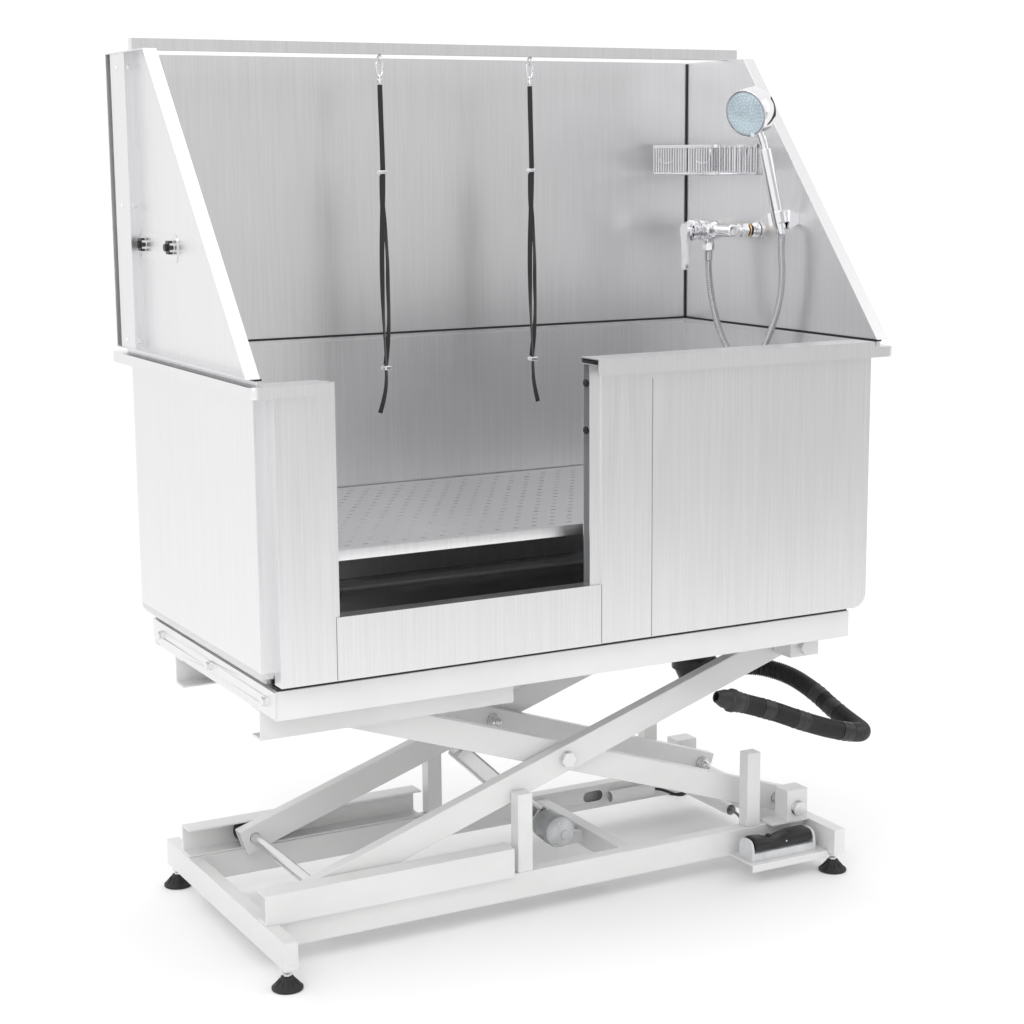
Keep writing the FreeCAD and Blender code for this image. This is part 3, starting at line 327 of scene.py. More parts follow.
def route(points, smooth=12):
    """Points along the NURBS line that a cord's control points make."""
    data = bpy.data.curves.new("route", "CURVE")
    data.dimensions, data.resolution_u = "3D", smooth
    spline = data.splines.new("NURBS")
    spline.points.add(len(points) - 1)
    for point, place in zip(spline.points, points):
        point.co = (*place, 1)
    spline.order_u = 3
    spline.use_endpoint_u = True
    holder = bpy.data.objects.new("route", data)
    bpy.context.scene.collection.objects.link(holder)
    mesh = bpy.data.meshes.new_from_object(holder)
    line = [vert.co.copy() for vert in mesh.vertices]
    bpy.data.objects.remove(holder)
    bpy.data.curves.remove(data)
    bpy.data.meshes.remove(mesh)
    return line


def even(line, step):
    """The line's points again, evenly spaced."""
    marks = [0.0]
    for a, b in zip(line, line[1:]):
        marks.append(marks[-1] + (b - a).length)
    count = max(2, round(marks[-1] / step))
    result = []
    span = 0
    for k in range(count + 1):
        goal = marks[-1] * k / count
        while span < len(line) - 2 and marks[span + 1] < goal:
            span += 1
        share = (goal - marks[span]) / max(marks[span + 1] - marks[span], 1e-9)
        result.append(line[span].lerp(line[span + 1], min(1, share)))
    return result, marks[-1]


def sweep(bm, line, section, side=None):
    """Adds a tube: section(index, share) gives its outline, (across, over) pairs in metres."""
    ahead = [(b - a).normalized() for a, b in zip(line, line[1:])]
    ahead = [ahead[0]] + [(a + b).normalized() for a, b in zip(ahead, ahead[1:])] + [ahead[-1]]
    across = (side or basis(ahead[0])[0]).copy()
    rows = []
    for k, (point, way) in enumerate(zip(line, ahead)):
        across = (across - way * across.dot(way)).normalized()
        over = way.cross(across)
        outline = section(k, k / (len(line) - 1))
        rows.append([bm.verts.new(point + across * a + over * b) for a, b in outline])
    for a, b in zip(rows, rows[1:]):
        for k in range(len(a)):
            bm.faces.new([a[k], a[(k + 1) % len(a)], b[(k + 1) % len(a)], b[k]])
    bm.faces.new(rows[0])
    bm.faces.new(rows[-1])


def circle(radius, count=20):
    return [(radius * math.cos(2 * math.pi * k / count), radius * math.sin(2 * math.pi * k / count))
            for k in range(count)]


# ---- cords --------------------------------------------------------------------------------------
DRAIN_ROUTE = [mm(446, -60, 372), mm(515, -62, 371), mm(575, -118, 358), mm(601, -180, 330),
               mm(608, -235, 304), mm(615, -290, 286), mm(608, -326, 283), mm(580, -338, 288),
               mm(520, -338, 304), mm(447, -337, 332), mm(379, -334, 362), mm(308, -332, 386)]
SHOWER_ROUTE = [mm(545, 127, 1188), mm(545, 128, 1150), mm(545, 117, 1098), mm(546, 94, 1038),
                mm(550, 58, 985), mm(556, 15, 957), mm(565, -28, 985), mm(571, -58, 1040),
                mm(576, -78, 1098), mm(576, -84, 1152), mm(574, -80, 1196), mm(576.5, -78.3, 1224)]
LINK_ROUTE = [mm(427, 143, 64), mm(441, 140, 63), mm(457, 127, 57), mm(472, 120, 50), mm(492, 125, 45),
              mm(512, 137, 47), mm(528, 145, 50), mm(541, 150, 52)]
PEDAL_ROUTE = [mm(487, -61, 68), mm(488, -79, 66), mm(486, -98, 60), mm(485, -118, 50), mm(481, -138, 41),
               mm(479, -158, 35), mm(474, -178, 31), mm(471, -198, 31), mm(467, -215, 33), mm(465, -228, 40)]
LEASH_Y, LEASH_X = 175, 159
BEAD_Z, RING_Z = 1352, 985
STRAP_WIDTH, STRAP_THICK = 0.0095, 0.0018
HOSE_R = 0.019


def drain_hose():
    """Corrugated hose with a smooth cuff every so often, and its rubber end connector."""
    pitch, steps = 0.0042, 6
    line, length = even(route(DRAIN_ROUTE), pitch / steps)
    cuffs = [0.0, 0.335, 0.40, 0.62, 0.78, 0.90, 1.0]

    def section(index, share):
        nearest = min(abs(share - cuff) for cuff in cuffs) * length
        if nearest < 0.014:
            return circle(HOSE_R if nearest > 0.0125 or nearest < 0.002 else HOSE_R * 0.97, 28)
        wave = 0.5 + 0.5 * math.cos(2 * math.pi * index / steps)
        return circle(HOSE_R * 0.97 - 0.0022 * (1 - wave) ** 2, 28)

    bm = bmesh.new()
    sweep(bm, line, section)
    hose = piece("drain_hose_corrugated", bm, HOSE_BLACK, "platform", ("drain_hose",))
    bm = bmesh.new()
    way = line[-1] - line[-8]
    lathe(bm, [(-6, 18.4), (-4, 19.6), (8, 19.8), (9.5, 22), (17, 22), (19, 20.5), (21, 18), (33, 17),
               (44, 12.5), (48, 11.0), (48, 8.0), (20, 8.0)], line[-1], way, 36)
    tip = piece("drain_end_connector", bm, HOSE_BLACK, "platform", ("drain_connector",))


def shower_hose():
    """Interlocked metal hose: fine ridges, with a plain ferrule at the mixer end."""
    pitch, steps, radius = 0.0036, 6, 0.0067
    line, length = even(route(SHOWER_ROUTE), pitch / steps)

    def section(index, share):
        along = share * length
        if along < 0.020:
            return circle(0.0078 if along > 0.002 else 0.007, 18)
        ridge = abs(math.sin(math.pi * index / steps))
        return circle(radius * (0.86 + 0.14 * ridge), 18)

    bm = bmesh.new()
    sweep(bm, line, section)
    hose = piece("shower_hose_metal", bm, HOSE_METAL, None, ("shower_hose",))
    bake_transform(hose)


def lift_cables():
    for name, points, material, slot in (("link_cable", LINK_ROUTE, CABLE_BLACK, "cable_black"),
                                         ("pedal_cable", PEDAL_ROUTE, CABLE_GREY, "cable_grey")):
        line, length = even(route(points), 0.003)
        bm = bmesh.new()
        sweep(bm, line, lambda index, share: circle(0.003, 16))
        cable = piece(name + "_sheath", bm, material, "base", (name,))


def strap_points(x):
    front, rear = LEASH_Y - 4.5, LEASH_Y + 4.5
    turn = 12 if x > 0 else -14
    main = [mm(x, LEASH_Y, 1512), mm(x + 1, LEASH_Y, 1455), mm(x + 2, LEASH_Y - 1, 1395),
            mm(x + 1, front, 1335), mm(x - 2, front - 1, 1275), mm(x - 4, front, 1215),
            mm(x - 5, front - 1, 1155), mm(x - 4, front, 1095), mm(x - 2, front - 1, 1035),
            mm(x + 1, front, 975), mm(x + turn / 6, front - 1, 935), mm(x + turn, front, 900)]
    loop = [mm(x + 3, rear, 1346), mm(x + 2, rear + 1, 1300), mm(x + 8, rear, 1245),
            mm(x + 12, rear + 1, 1190), mm(x + 11, rear, 1135), mm(x + 13, rear + 1, 1080),
            mm(x + 9, rear, 1030), mm(x + 4, rear + 1, 990)]
    return main, loop


def webbing_section(width, thickness, twist):
    """A flat strap's outline with rounded selvedges, turned about its own line as it goes."""
    flat = []
    for k in range(12):
        angle = 2 * math.pi * k / 12
        reach = width / 2 - thickness / 2
        flat.append((math.copysign(reach, math.cos(angle)) + math.cos(angle) * thickness / 2,
                     math.sin(angle) * thickness / 2))

    def section(index, share):
        turn = twist(share)
        c, s = math.cos(turn), math.sin(turn)
        return [(a * c - b * s, a * s + b * c) for a, b in flat]
    return section


def snap_hook(bm, x):
    """Adds a swivel snap hook hanging on its eye, and its swivel barrel."""
    top, low = mm(x, LEASH_Y, 1549), mm(x, LEASH_Y, 1531)
    bend = [top + mm(6.4 * math.cos(a), 0, 6.4 * math.sin(a)) for a in [math.pi * k / 12 for k in range(13)]]
    hook = [low + mm(6.4, 0, 0)] + bend + [low + mm(-6.4, 0, 4), low + mm(-4, 0, -2), low + mm(0, 0, -4)]
    sweep(bm, hook, lambda index, share: circle(0.0019, 12), AXIS_Y)
    sweep(bm, [low + mm(6.2, 0, 16), low + mm(6.4, 0, 4), low + mm(3.5, 0, -3)],
          lambda index, share: circle(0.0022, 12), AXIS_Y)
    lathe(bm, [(0, 2.5), (1, 4.6), (3, 5), (5, 3.4), (7, 3.2), (9, 5.6), (13, 5.8), (15, 4.8)],
          mm(x, LEASH_Y, 1530), -UP, 24)
    lathe(bm, [(0, 2.0), (0.6, 2.6), (4, 2.6), (4.6, 2.0)], mm(x + 6.4, LEASH_Y - 2.3, 1541), AXIS_Y, 16)


def slide(bm, centre, half, height):
    """Adds a flat metal slide that wraps the strap."""
    low = centre - mm(half, 8.5, height)
    high = centre + mm(half, 8.5, height)
    block(bm, low / MM, high / MM, 1.6)


def leashes():
    for name, x in (("left", -LEASH_X), ("right", LEASH_X)):
        body = "leash_" + name
        main, loop = strap_points(x)
        bm = bmesh.new()
        snap_hook(bm, x)
        slide(bm, mm(x + 1, LEASH_Y, BEAD_Z), 6.5, 3.5)
        piece("leash_hook_" + name, bm, CHROME, body, ("leash_fittings_" + name,))
        bm = bmesh.new()
        slide(bm, mm(x + 3, LEASH_Y, RING_Z), 7.5, 4.0)
        keeper = piece("leash_keeper_" + name, bm, CHROME, body)
        for part, points, phase, end in (("strap", main, 0.3, "bare"), ("loop", loop, 1.7, "fitting")):
            line, length = even(route(points), 0.004)
            bm = bmesh.new()
            twist = (lambda share, phase=phase: 0.55 * math.sin(5.5 * share + phase)
                     + 0.25 * math.sin(14 * share))
            sweep(bm, line, webbing_section(STRAP_WIDTH, STRAP_THICK, twist), AXIS_X)
            strap = piece("leash_" + part + "_" + name + "_webbing", bm, WEBBING, body,
                          ("leash_" + part + "_" + name,))


drain_hose()
shower_hose()
lift_cables()
leashes()


# ---- CAD nodes that stay ------------------------------------------------------------------------
def dress(material, *names, bevel=0.0):
    """Gives CAD nodes their material and, where sheet or tube edges show, a small rounding."""
    for name in names:
        node = frame["nodes"][name]
        node.data.materials.clear()
        node.data.materials.append(material)
        if bevel:
            weld = node.modifiers.new("weld", "WELD")
            weld.merge_threshold = 0.00002
            rounding = node.modifiers.new("rounding", "BEVEL")
            rounding.width, rounding.segments = bevel, 2
            rounding.limit_method, rounding.angle_limit = "ANGLE", math.radians(50)


dress(WHITE, "base_end_tubes", "base_rails", "base_tracks", "stop_posts", "base_pivot_brackets", "pedal_tray",
      "inner_arms", "outer_arms", "inner_cross_members", "top_frame", "top_tracks", "top_pivot_brackets",
      bevel=0.0015)
dress(WHITE, "cable_conduits")
dress(ZINC, "base_fasteners", "outer_pins")
dress(BLACK_RUBBER, "roller_lower_front", "roller_lower_rear", "roller_upper_front", "roller_upper_rear")
dress(PROFILE, "actuator_body", bevel=0.0008)
dress(CHROME, "actuator_rod")
dress(STEEL, "tub_walls", "door_frame", "rim", "splash_sides", "splash_back", "skirt_plate", "top_bar",
      "door_guides", bevel=0.0007)
dress(STEEL, "side_wall_fittings")
# The floor pan takes the darker stainless copy, with its shade inside the tub painted into the base colour.
dress(STEEL_PAN_PAINTED_SHADE, "tub_pan")
dress(BLACK_RUBBER, "tub_pads", "splash_seals")
dress(BLACK_PLASTIC, "drain_trap")


# ---- feet and foot control ----------------------------------------------------------------------
def feet():
    pad = [(0, 25.6), (0.8, 26.8), (4.2, 27), (5.4, 25.6), (7, 23), (10, 19), (14, 14.6), (18, 12),
           (22, 11.2), (23, 10.2)]
    stud = [(23, 5.5)]
    thread, pitch = 28.0, 1.5
    while thread < 70:
        stud += [(thread, 4.4), (thread + pitch / 2, 5.0)]
        thread += pitch
    for number in range(1, 5):
        name, (low, high) = "foot_" + str(number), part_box("foot_" + str(number))
        middle = Vector(((low.x + high.x) / 2, (low.y + high.y) / 2, 0))
        bm = bmesh.new()
        lathe(bm, pad, middle, UP, 48)
        for k in range(10):
            way = Matrix.Rotation(2 * math.pi * k / 10, 3, "Z")
            foot, crest = middle + way @ mm(22.5, 0, 6), middle + way @ mm(12.0, 0, 18)
            sweep(bm, [foot, crest], lambda index, share: circle(0.0016, 8))
        piece(name + "_pad", bm, BLACK_RUBBER, name, (name,))
        bm = bmesh.new()
        hexagon(bm, 14, middle + mm(0, 0, 23), UP, 5)
        lathe(bm, stud, middle, UP, 24)
        piece(name + "_stud", bm, ZINC, name)


def arch(half, height, power=0.62, count=20):
    """Half-round outline with a flattened top, (across, up) pairs in millimetres."""
    outline = []
    for k in range(count + 1):
        turn = math.pi * k / count
        outline.append((half * math.copysign(abs(math.cos(turn)) ** power, math.cos(turn)),
                        height * abs(math.sin(turn)) ** power))
    return outline


def foot_control():
    low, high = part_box("pedal_housing")
    low, high = low / MM, high / MM
    middle = (low.y + high.y) / 2
    half = (high.y - low.y) / 2
    bm = bmesh.new()
    block(bm, (low.x + 4.5, low.y, low.z), (high.x - 4.5, high.y, low.z + 16), 1.2)
    block(bm, (low.x + 4.5, low.y - 0.2, low.z + 12.4), (high.x - 4.5, low.y + 1, low.z + 14.6), 0.4)
    for x in (low.x + 2.5, high.x - 2.5):
        outline = [(a, b) for a, b in arch(half - 0.2, high.z - low.z)]
        prism(bm, outline, mm(x, middle, low.z), AXIS_Y, UP, 5)
    piece("pedal_base", bm, LIGHT_PLASTIC, "base", ("pedal_housing",))

    r_low, r_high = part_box("pedal_rocker")
    r_low, r_high = r_low / MM, r_high / MM
    bm = bmesh.new()
    rows = []
    count = 40
    for k in range(count + 1):
        share = k / count
        x = r_low.x + (r_high.x - r_low.x) * share
        dip = 8.0 * math.exp(-((share - 0.40) / 0.20) ** 2)
        edge = min(1.0, share / 0.03, (1 - share) / 0.03)
        height = (r_high.z - r_low.z - dip) * (0.90 + 0.10 * math.sqrt(edge))
        spread = (half - 0.6) * (0.97 + 0.03 * math.sqrt(edge))
        rows.append([bm.verts.new(mm(x, middle + a, r_low.z + b)) for a, b in arch(spread, height, 0.7)])
    for a, b in zip(rows, rows[1:]):
        for k in range(len(a)):
            bm.faces.new([a[k], a[(k + 1) % len(a)], b[(k + 1) % len(a)], b[k]])
    bm.faces.new(rows[0])
    bm.faces.new(rows[-1])
    for x in (r_low.x + 20, r_low.x + 26, r_high.x - 46, r_high.x - 40, r_high.x - 34):
        top = r_high.z - 0.4 - (7.0 if x < (r_low.x + r_high.x) / 2 else 0.0) * 0.3
        block(bm, (x, middle - 9, top - 3.5), (x + 2.5, middle + 9, top - 0.2), 0.5)
    piece("pedal_cover", bm, BLACK_PLASTIC, "pedal_rocker", ("pedal_rocker",))
    bm = bmesh.new()
    lathe(bm, [(0, 5.5), (3, 5.2), (4.6, 4.0), (5.2, 0)], mm(r_low.x + 46, middle + 3, r_high.z - 7.5),
          UP, 24)
    piece("pedal_button", bm, BLACK_RUBBER, "pedal_rocker")
    bm = bmesh.new()
    lathe(bm, [(0, 1.6), (0.5, 1.4), (0.8, 0)], mm(r_low.x + 72, r_low.y + 1.2, r_high.z - 14), -AXIS_Y, 16)
    piece("pedal_lamp", bm, NOZZLE, "pedal_rocker")


# ---- actuator motor -----------------------------------------------------------------------------
def motor():
    joints = {joint["name"]: joint for joint in frame["joints"]}
    foot = Vector(joints["actuator_tilt"]["pos_m"])
    along = Vector(joints["actuator_extend"]["axis"]).normalized()
    start = foot + along * 62 * MM + mm(0, -22, 0)
    bm = bmesh.new()
    lathe(bm, [(0, 24), (1, 27), (3, 29), (14, 29), (14.6, 28.2), (15.6, 28.2), (16.2, 29), (46, 29),
               (47, 31), (57, 31), (59, 30), (60, 28)], start, -AXIS_Y, 56)
    for k in (-1, 0, 1):
        across = along.cross(AXIS_Y).normalized()
        block_at = start + across * 29 * MM + along * 9 * k * MM
        sweep(bm, [block_at + mm(0, -20, 0), block_at + mm(0, -42, 0)],
              lambda index, share: circle(0.0011, 8))
    piece("motor_housing", bm, MOTOR_GREY, "actuator_body", ("actuator_motor",))
    bm = bmesh.new()
    lathe(bm, [(58, 29.6), (62, 29.4), (66, 28), (71, 24.5), (75, 19.5), (77.5, 14), (78.4, 9.6), (77.8, 9.0),
               (80.6, 8.6), (81, 8), (81, 0)], start, -AXIS_Y, 56)
    piece("motor_dome", bm, LIGHT_PLASTIC, "actuator_body")
    bm = bmesh.new()
    for k in range(3):
        turn = Matrix.Rotation(2 * math.pi * k / 3 + 0.4, 3, AXIS_Y)
        head = start + turn @ (along * 24.5 * MM) + mm(0, -70.2, 0)
        lathe(bm, [(0, 2.6), (1.8, 2.3), (2.2, 0)], head, -AXIS_Y, 16)
    piece("motor_screws", bm, ZINC, "actuator_body")


# ---- grates -------------------------------------------------------------------------------------
def sheet_with_holes(outline, holes, thickness):
    """A level perforated sheet as a mesh, its top at zero."""
    data = bpy.data.curves.new("cut", "CURVE")
    data.dimensions, data.fill_mode, data.extrude = "2D", "BOTH", thickness / 2
    for points in [outline] + holes:
        spline = data.splines.new("POLY")
        spline.points.add(len(points) - 1)
        for point, (x, y) in zip(spline.points, points):
            point.co = (x, y, 0, 1)
        spline.use_cyclic_u = True
    holder = bpy.data.objects.new("cut", data)
    bpy.context.scene.collection.objects.link(holder)
    mesh = bpy.data.meshes.new_from_object(holder)
    mesh.transform(Matrix.Translation((0, 0, -thickness / 2)))
    bpy.data.objects.remove(holder)
    bpy.data.curves.remove(data)
    return mesh


def oval(x, y, length, width):
    """A slot's outline round its middle, in metres."""
    ends = (length - width) / 2
    points = []
    for k in range(12):
        turn = 2 * math.pi * (k + 0.5) / 12
        points.append((x + math.copysign(ends, math.cos(turn)) + width / 2 * math.cos(turn),
                       y + width / 2 * math.sin(turn)))
    return points


def grates():
    pitch_x, pitch_y, slot_length, slot_width, margin = 0.036, 0.030, 0.011, 0.0045, 0.028
    for name in ("grate_left", "grate_right"):
        low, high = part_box(name)
        holes = []
        rows = int((high.y - low.y - 2 * margin) / pitch_y)
        columns = int((high.x - low.x - 2 * margin) / pitch_x)
        for row in range(rows + 1):
            for column in range(columns + 1 - row % 2):
                x = low.x + margin + pitch_x * (column + 0.5 * (row % 2))
                holes.append(oval(x, low.y + margin + pitch_y * row, slot_length, slot_width))
        outline = [(low.x, low.y), (high.x, low.y), (high.x, high.y), (low.x, high.y)]
        mesh = sheet_with_holes(outline, holes, 0.0012)
        mesh.transform(Matrix.Translation((0, 0, high.z)))
        bm = bmesh.new()
        bm.from_mesh(mesh)
        bpy.data.meshes.remove(mesh)
        bmesh.ops.remove_doubles(bm, verts=bm.verts, dist=0.00001)
        l, h = low / MM, high / MM
        fold = 19.0
        for a, b in (((l.x, l.y), (h.x, l.y + 1.6)), ((l.x, h.y - 1.6), (h.x, h.y)),
                     ((l.x, l.y + 1.6), (l.x + 1.6, h.y - 1.6)), ((h.x - 1.6, l.y + 1.6), (h.x, h.y - 1.6))):
            block(bm, (*a, h.z - fold), (*b, h.z - 0.05), 0.7)
        for x in (l.x + 40, h.x - 40):
            for y in (l.y + 60, h.y - 60):
                lathe(bm, [(0, 7.5), (1, 9), (12, 9), (13, 7), (h.z - l.z - 2, 7)], mm(x, y, l.z), UP, 20)
        piece(name + "_panel", bm, STEEL, name, (name,))


# ---- basket -------------------------------------------------------------------------------------
def rounded_path(corners, radius, steps=5, closed=False):
    """A path through corners with each one rounded."""
    line = [] if closed else [corners[0]]
    count = len(corners)
    for k in range(count) if closed else range(1, count - 1):
        before, here, after = corners[k - 1], corners[k], corners[(k + 1) % count]
        a, b = here + (before - here).normalized() * radius, here + (after - here).normalized() * radius
        for step in range(steps + 1):
            t = step / steps
            line.append(a * (1 - t) ** 2 + here * 2 * t * (1 - t) + b * t ** 2)
    line += [line[0].copy()] if closed else [corners[-1]]
    return line


def basket():
    low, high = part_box("wire_basket")
    x0, x1, y0, y1 = low.x + 0.0022, high.x - 0.0022, low.y + 0.0022, high.y - 0.0022
    bottom, top = low.z + 0.0022, high.z - 0.0022
    bm = bmesh.new()
    wire = 0.0014
    for k in range(1, 25):
        y = y0 + (y1 - y0) * k / 25
        path = [Vector((x0, y, top)), Vector((x0, y, bottom)), Vector((x1, y, bottom)), Vector((x1, y, top))]
        sweep(bm, rounded_path(path, 0.007), lambda index, share: circle(wire, 8), AXIS_Y)
    for k in range(1, 9):
        x = x0 + (x1 - x0) * k / 9
        path = [Vector((x, y0, top)), Vector((x, y0, bottom + 0.002)), Vector((x, y0 + 0.03, bottom + 0.002))]
        sweep(bm, rounded_path(path, 0.006), lambda index, share: circle(wire, 8), AXIS_X)
        path = [Vector((x, y1, top)), Vector((x, y1, bottom + 0.002)), Vector((x, y1 - 0.03, bottom + 0.002))]
        sweep(bm, rounded_path(path, 0.006), lambda index, share: circle(wire, 8), AXIS_X)
    band = [(-0.0009, -0.0042), (0.0009, -0.0042), (0.0009, 0.0020), (-0.0009, 0.0020)]
    corners = [Vector((x0, y0, top)), Vector((x1, y0, top)), Vector((x1, y1, top)), Vector((x0, y1, top))]
    sweep(bm, rounded_path(corners, 0.012, closed=True), lambda index, share: [(b, a) for a, b in band], UP)
    for inset, height in ((0.002, bottom + 0.001), (0.03, bottom + 0.003)):
        hoop = [Vector((x0 + inset, y0 + inset, height)), Vector((x1 - inset, y0 + inset, height)),
                Vector((x1 - inset, y1 - inset, height)), Vector((x0 + inset, y1 - inset, height))]
        sweep(bm, rounded_path(hoop, 0.012, closed=True), lambda index, share: circle(0.0018, 8), UP)
    for start, end in ((0.12, 0.30), (0.68, 0.88)):
        a, b = y0 + (y1 - y0) * start, y0 + (y1 - y0) * end
        inside = x0 + 0.0035
        loop = [Vector((inside, a, top)), Vector((inside, a, top - 0.034)), Vector((inside, b, top - 0.034)),
                Vector((inside, b, top))]
        sweep(bm, rounded_path(loop, 0.010), lambda index, share: circle(0.0014, 8), AXIS_X)
    piece("wire_basket_chrome", bm, CHROME, "platform", ("wire_basket",))
    bm = bmesh.new()
    for y in (y0 + 0.055, y1 - 0.055):
        lathe(bm, [(0, 8), (1.2, 8), (2.0, 6), (3.4, 5), (3.6, 0)], Vector((high.x - 0.0002, y, top - 0.012)),
              -AXIS_X, 20)
    piece("basket_screws", bm, ZINC, "platform")


# ---- mixer and shower ---------------------------------------------------------------------------
MIXER = mm(545, 127, 1230)
WALL_X = 610
INLET_Y = (52, 202)
HANDLE_LOW, HANDLE_HIGH = mm(575, -76, 1236), mm(553, -42, 1412)
HEAD_CENTRE, HEAD_FACING = mm(514, -40, 1456), Vector((-0.90, -0.34, -0.26)).normalized()


def mixer():
    x, y, z = MIXER / MM
    bm = bmesh.new()
    lathe(bm, [(0, 8.5), (0.8, 11.2), (2.4, 12.6), (4, 13), (50, 13), (54, 14.5), (60, 18), (62, 18.4),
               (116, 18.4), (118, 18), (124, 14.5), (128, 13), (174, 13), (175.6, 12.6), (177.2, 11.2),
               (178, 8.5)],
          mm(x, 38, z), AXIS_Y, 48)
    lathe(bm, [(0, 12), (4, 18), (8, 21.4), (10, 22), (36, 22), (37, 21.6), (37.3, 20.8)], mm(x + 8, y, z),
          -AXIS_X, 56)
    for inlet in INLET_Y:
        lathe(bm, [(0, 9), (20, 9), (20.5, 12.5), (24, 12.5), (24.5, 10.5), (36, 10.5)], mm(x, inlet, z),
              AXIS_X, 32)
        hexagon(bm, 26, mm(x + 26, inlet, z), AXIS_X, 13, 1.2)
        lathe(bm, [(0, 13), (1, 16.5), (3, 17), (8, 17), (12, 15.5), (16, 13.5)],
              mm(WALL_X - 0.2, inlet, z), -AXIS_X, 40)
    lathe(bm, [(0, 12), (10, 12), (13, 10.5), (22, 10.5), (28, 9.6)], mm(x, y, z - 8), -UP, 32)
    hexagon(bm, 20, mm(x, y, z - 28), -UP, 13.8, 1.0)
    piece("mixer_body_chrome", bm, CHROME, "platform", ("mixer_body",))
    bm = bmesh.new()
    for inlet in INLET_Y:
        lathe(bm, [(0, 11.5), (0.6, 13.8), (3.4, 13.8), (4, 11.5)], mm(x + 40.5, inlet, z), AXIS_X, 32)
    piece("mixer_brass_rings", bm, BRASS, "platform")

    low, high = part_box("mixer_cap")
    bm = bmesh.new()
    reach = (high.x - low.x) / MM
    rear_centre = Vector((high.x, MIXER.y, MIXER.z))
    lathe(bm, [(0, 20.2), (0.6, 21), (4.4, 21), (4.8, 20.2), (5.4, 20.2), (5.8, 21)], rear_centre,
          -AXIS_X, 56)
    cap_edge = [(5.8, 21), (reach - 2.5, 21), (reach - 0.7, 20.2), (reach, 18.4)]
    lathe(bm, cap_edge, rear_centre, -AXIS_X, 56)
    piece("mixer_cap_ring", bm, CHROME, "mixer_cap", ("mixer_cap",))

    # The lever: a round boss over the cap and a blade that narrows downwards.
    low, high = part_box("mixer_lever")
    thick = 7.0
    centre = Vector((low.x + thick / 2 * MM, MIXER.y, MIXER.z))
    boss_turns = [math.radians(a) for a in range(-20, 201, 10)]
    tip_turns = [math.radians(a) for a in range(200, 341, 10)]
    outline = [(14 * math.cos(t), 14 * math.sin(t)) for t in boss_turns]
    outline += [(-9.2, -26), (-7.4, -48), (-7.6, -66)]
    outline += [(7.4 * math.cos(t), -72 + 7.4 * math.sin(t)) for t in tip_turns]
    outline += [(7.6, -66), (7.4, -48), (9.2, -26)]
    bm = bmesh.new()
    prism(bm, outline, centre, AXIS_Y, UP, thick)
    bmesh.ops.bevel(bm, geom=[e for e in bm.edges if e.calc_face_angle(0) > 1.0], offset=0.0022, segments=3,
                    profile=0.5, affect="EDGES")
    y, z = MIXER.y / MM, MIXER.z / MM
    block(bm, (low.x / MM + 6, y - 6.8, z - 11), (high.x / MM, y + 6.8, z + 5), 1.5)
    piece("mixer_lever_blade", bm, CHROME, "mixer_lever", ("mixer_lever",))


def handset():
    way = (HANDLE_HIGH - HANDLE_LOW).normalized()
    reach = (HANDLE_HIGH - HANDLE_LOW).length / MM
    bm = bmesh.new()
    lathe(bm, [(-10.5, 6.5), (-10, 8.6), (-3, 9.1), (-2, 8.4), (-1, 8.4), (0, 10.8), (6, 11.5), (100, 12.0),
               (reach - 26, 12.5), (reach - 24.5, 12.3), (reach - 24, 11.0), (reach - 23.6, 8.4),
               (reach, 8.0)], HANDLE_LOW, way, 40)
    neck_end = HEAD_CENTRE - HEAD_FACING * 19 * MM
    bend = route([HANDLE_LOW + way * (reach - 24) * MM, HANDLE_HIGH, neck_end])
    sweep(bm, bend, lambda index, share: circle(0.0080 + 0.004 * share ** 3, 24))
    lathe(bm, [(-50, 12), (-49.4, 20), (-46, 30), (-42, 40), (-39.5, 44.2), (-37, 45.8), (-2.2, 46),
               (-0.6, 45.4), (0, 44), (-0.4, 42.4), (-1.6, 41.8), (-1.6, 0)], HEAD_CENTRE, HEAD_FACING, 72)
    piece("handset_shell", bm, CHROME, "shower_handset", ("shower_handset",))
    bm = bmesh.new()
    lathe(bm, [(-1.5, 41.6), (-0.9, 41.4), (-0.7, 34), (-0.9, 33), (-0.6, 20), (-0.8, 19), (-0.5, 0)],
          HEAD_CENTRE, HEAD_FACING, 72)
    piece("handset_face", bm, FACE_BLUE, "shower_handset")
    bm = bmesh.new()
    side, other = basis(HEAD_FACING)
    for radius, count in ((6, 6), (12.5, 12), (19, 16), (25.5, 18), (31.5, 24), (37.5, 30)):
        for k in range(count):
            turn = 2 * math.pi * (k + 0.5 * (radius > 20)) / count
            place = HEAD_CENTRE + (side * math.cos(turn) + other * math.sin(turn)) * radius * MM
            lathe(bm, [(-1.0, 1.35), (0.3, 1.2), (0.9, 0.8), (1.0, 0)], place, HEAD_FACING, 10)
    down = (-way - HEAD_FACING * (-way).dot(HEAD_FACING)).normalized()
    tab = HEAD_CENTRE + down * 43 * MM
    lathe(bm, [(-3, 4.6), (1.4, 4.4), (2.4, 3.2), (2.6, 0)], tab, HEAD_FACING, 20)
    piece("handset_nozzles", bm, NOZZLE, "shower_handset")


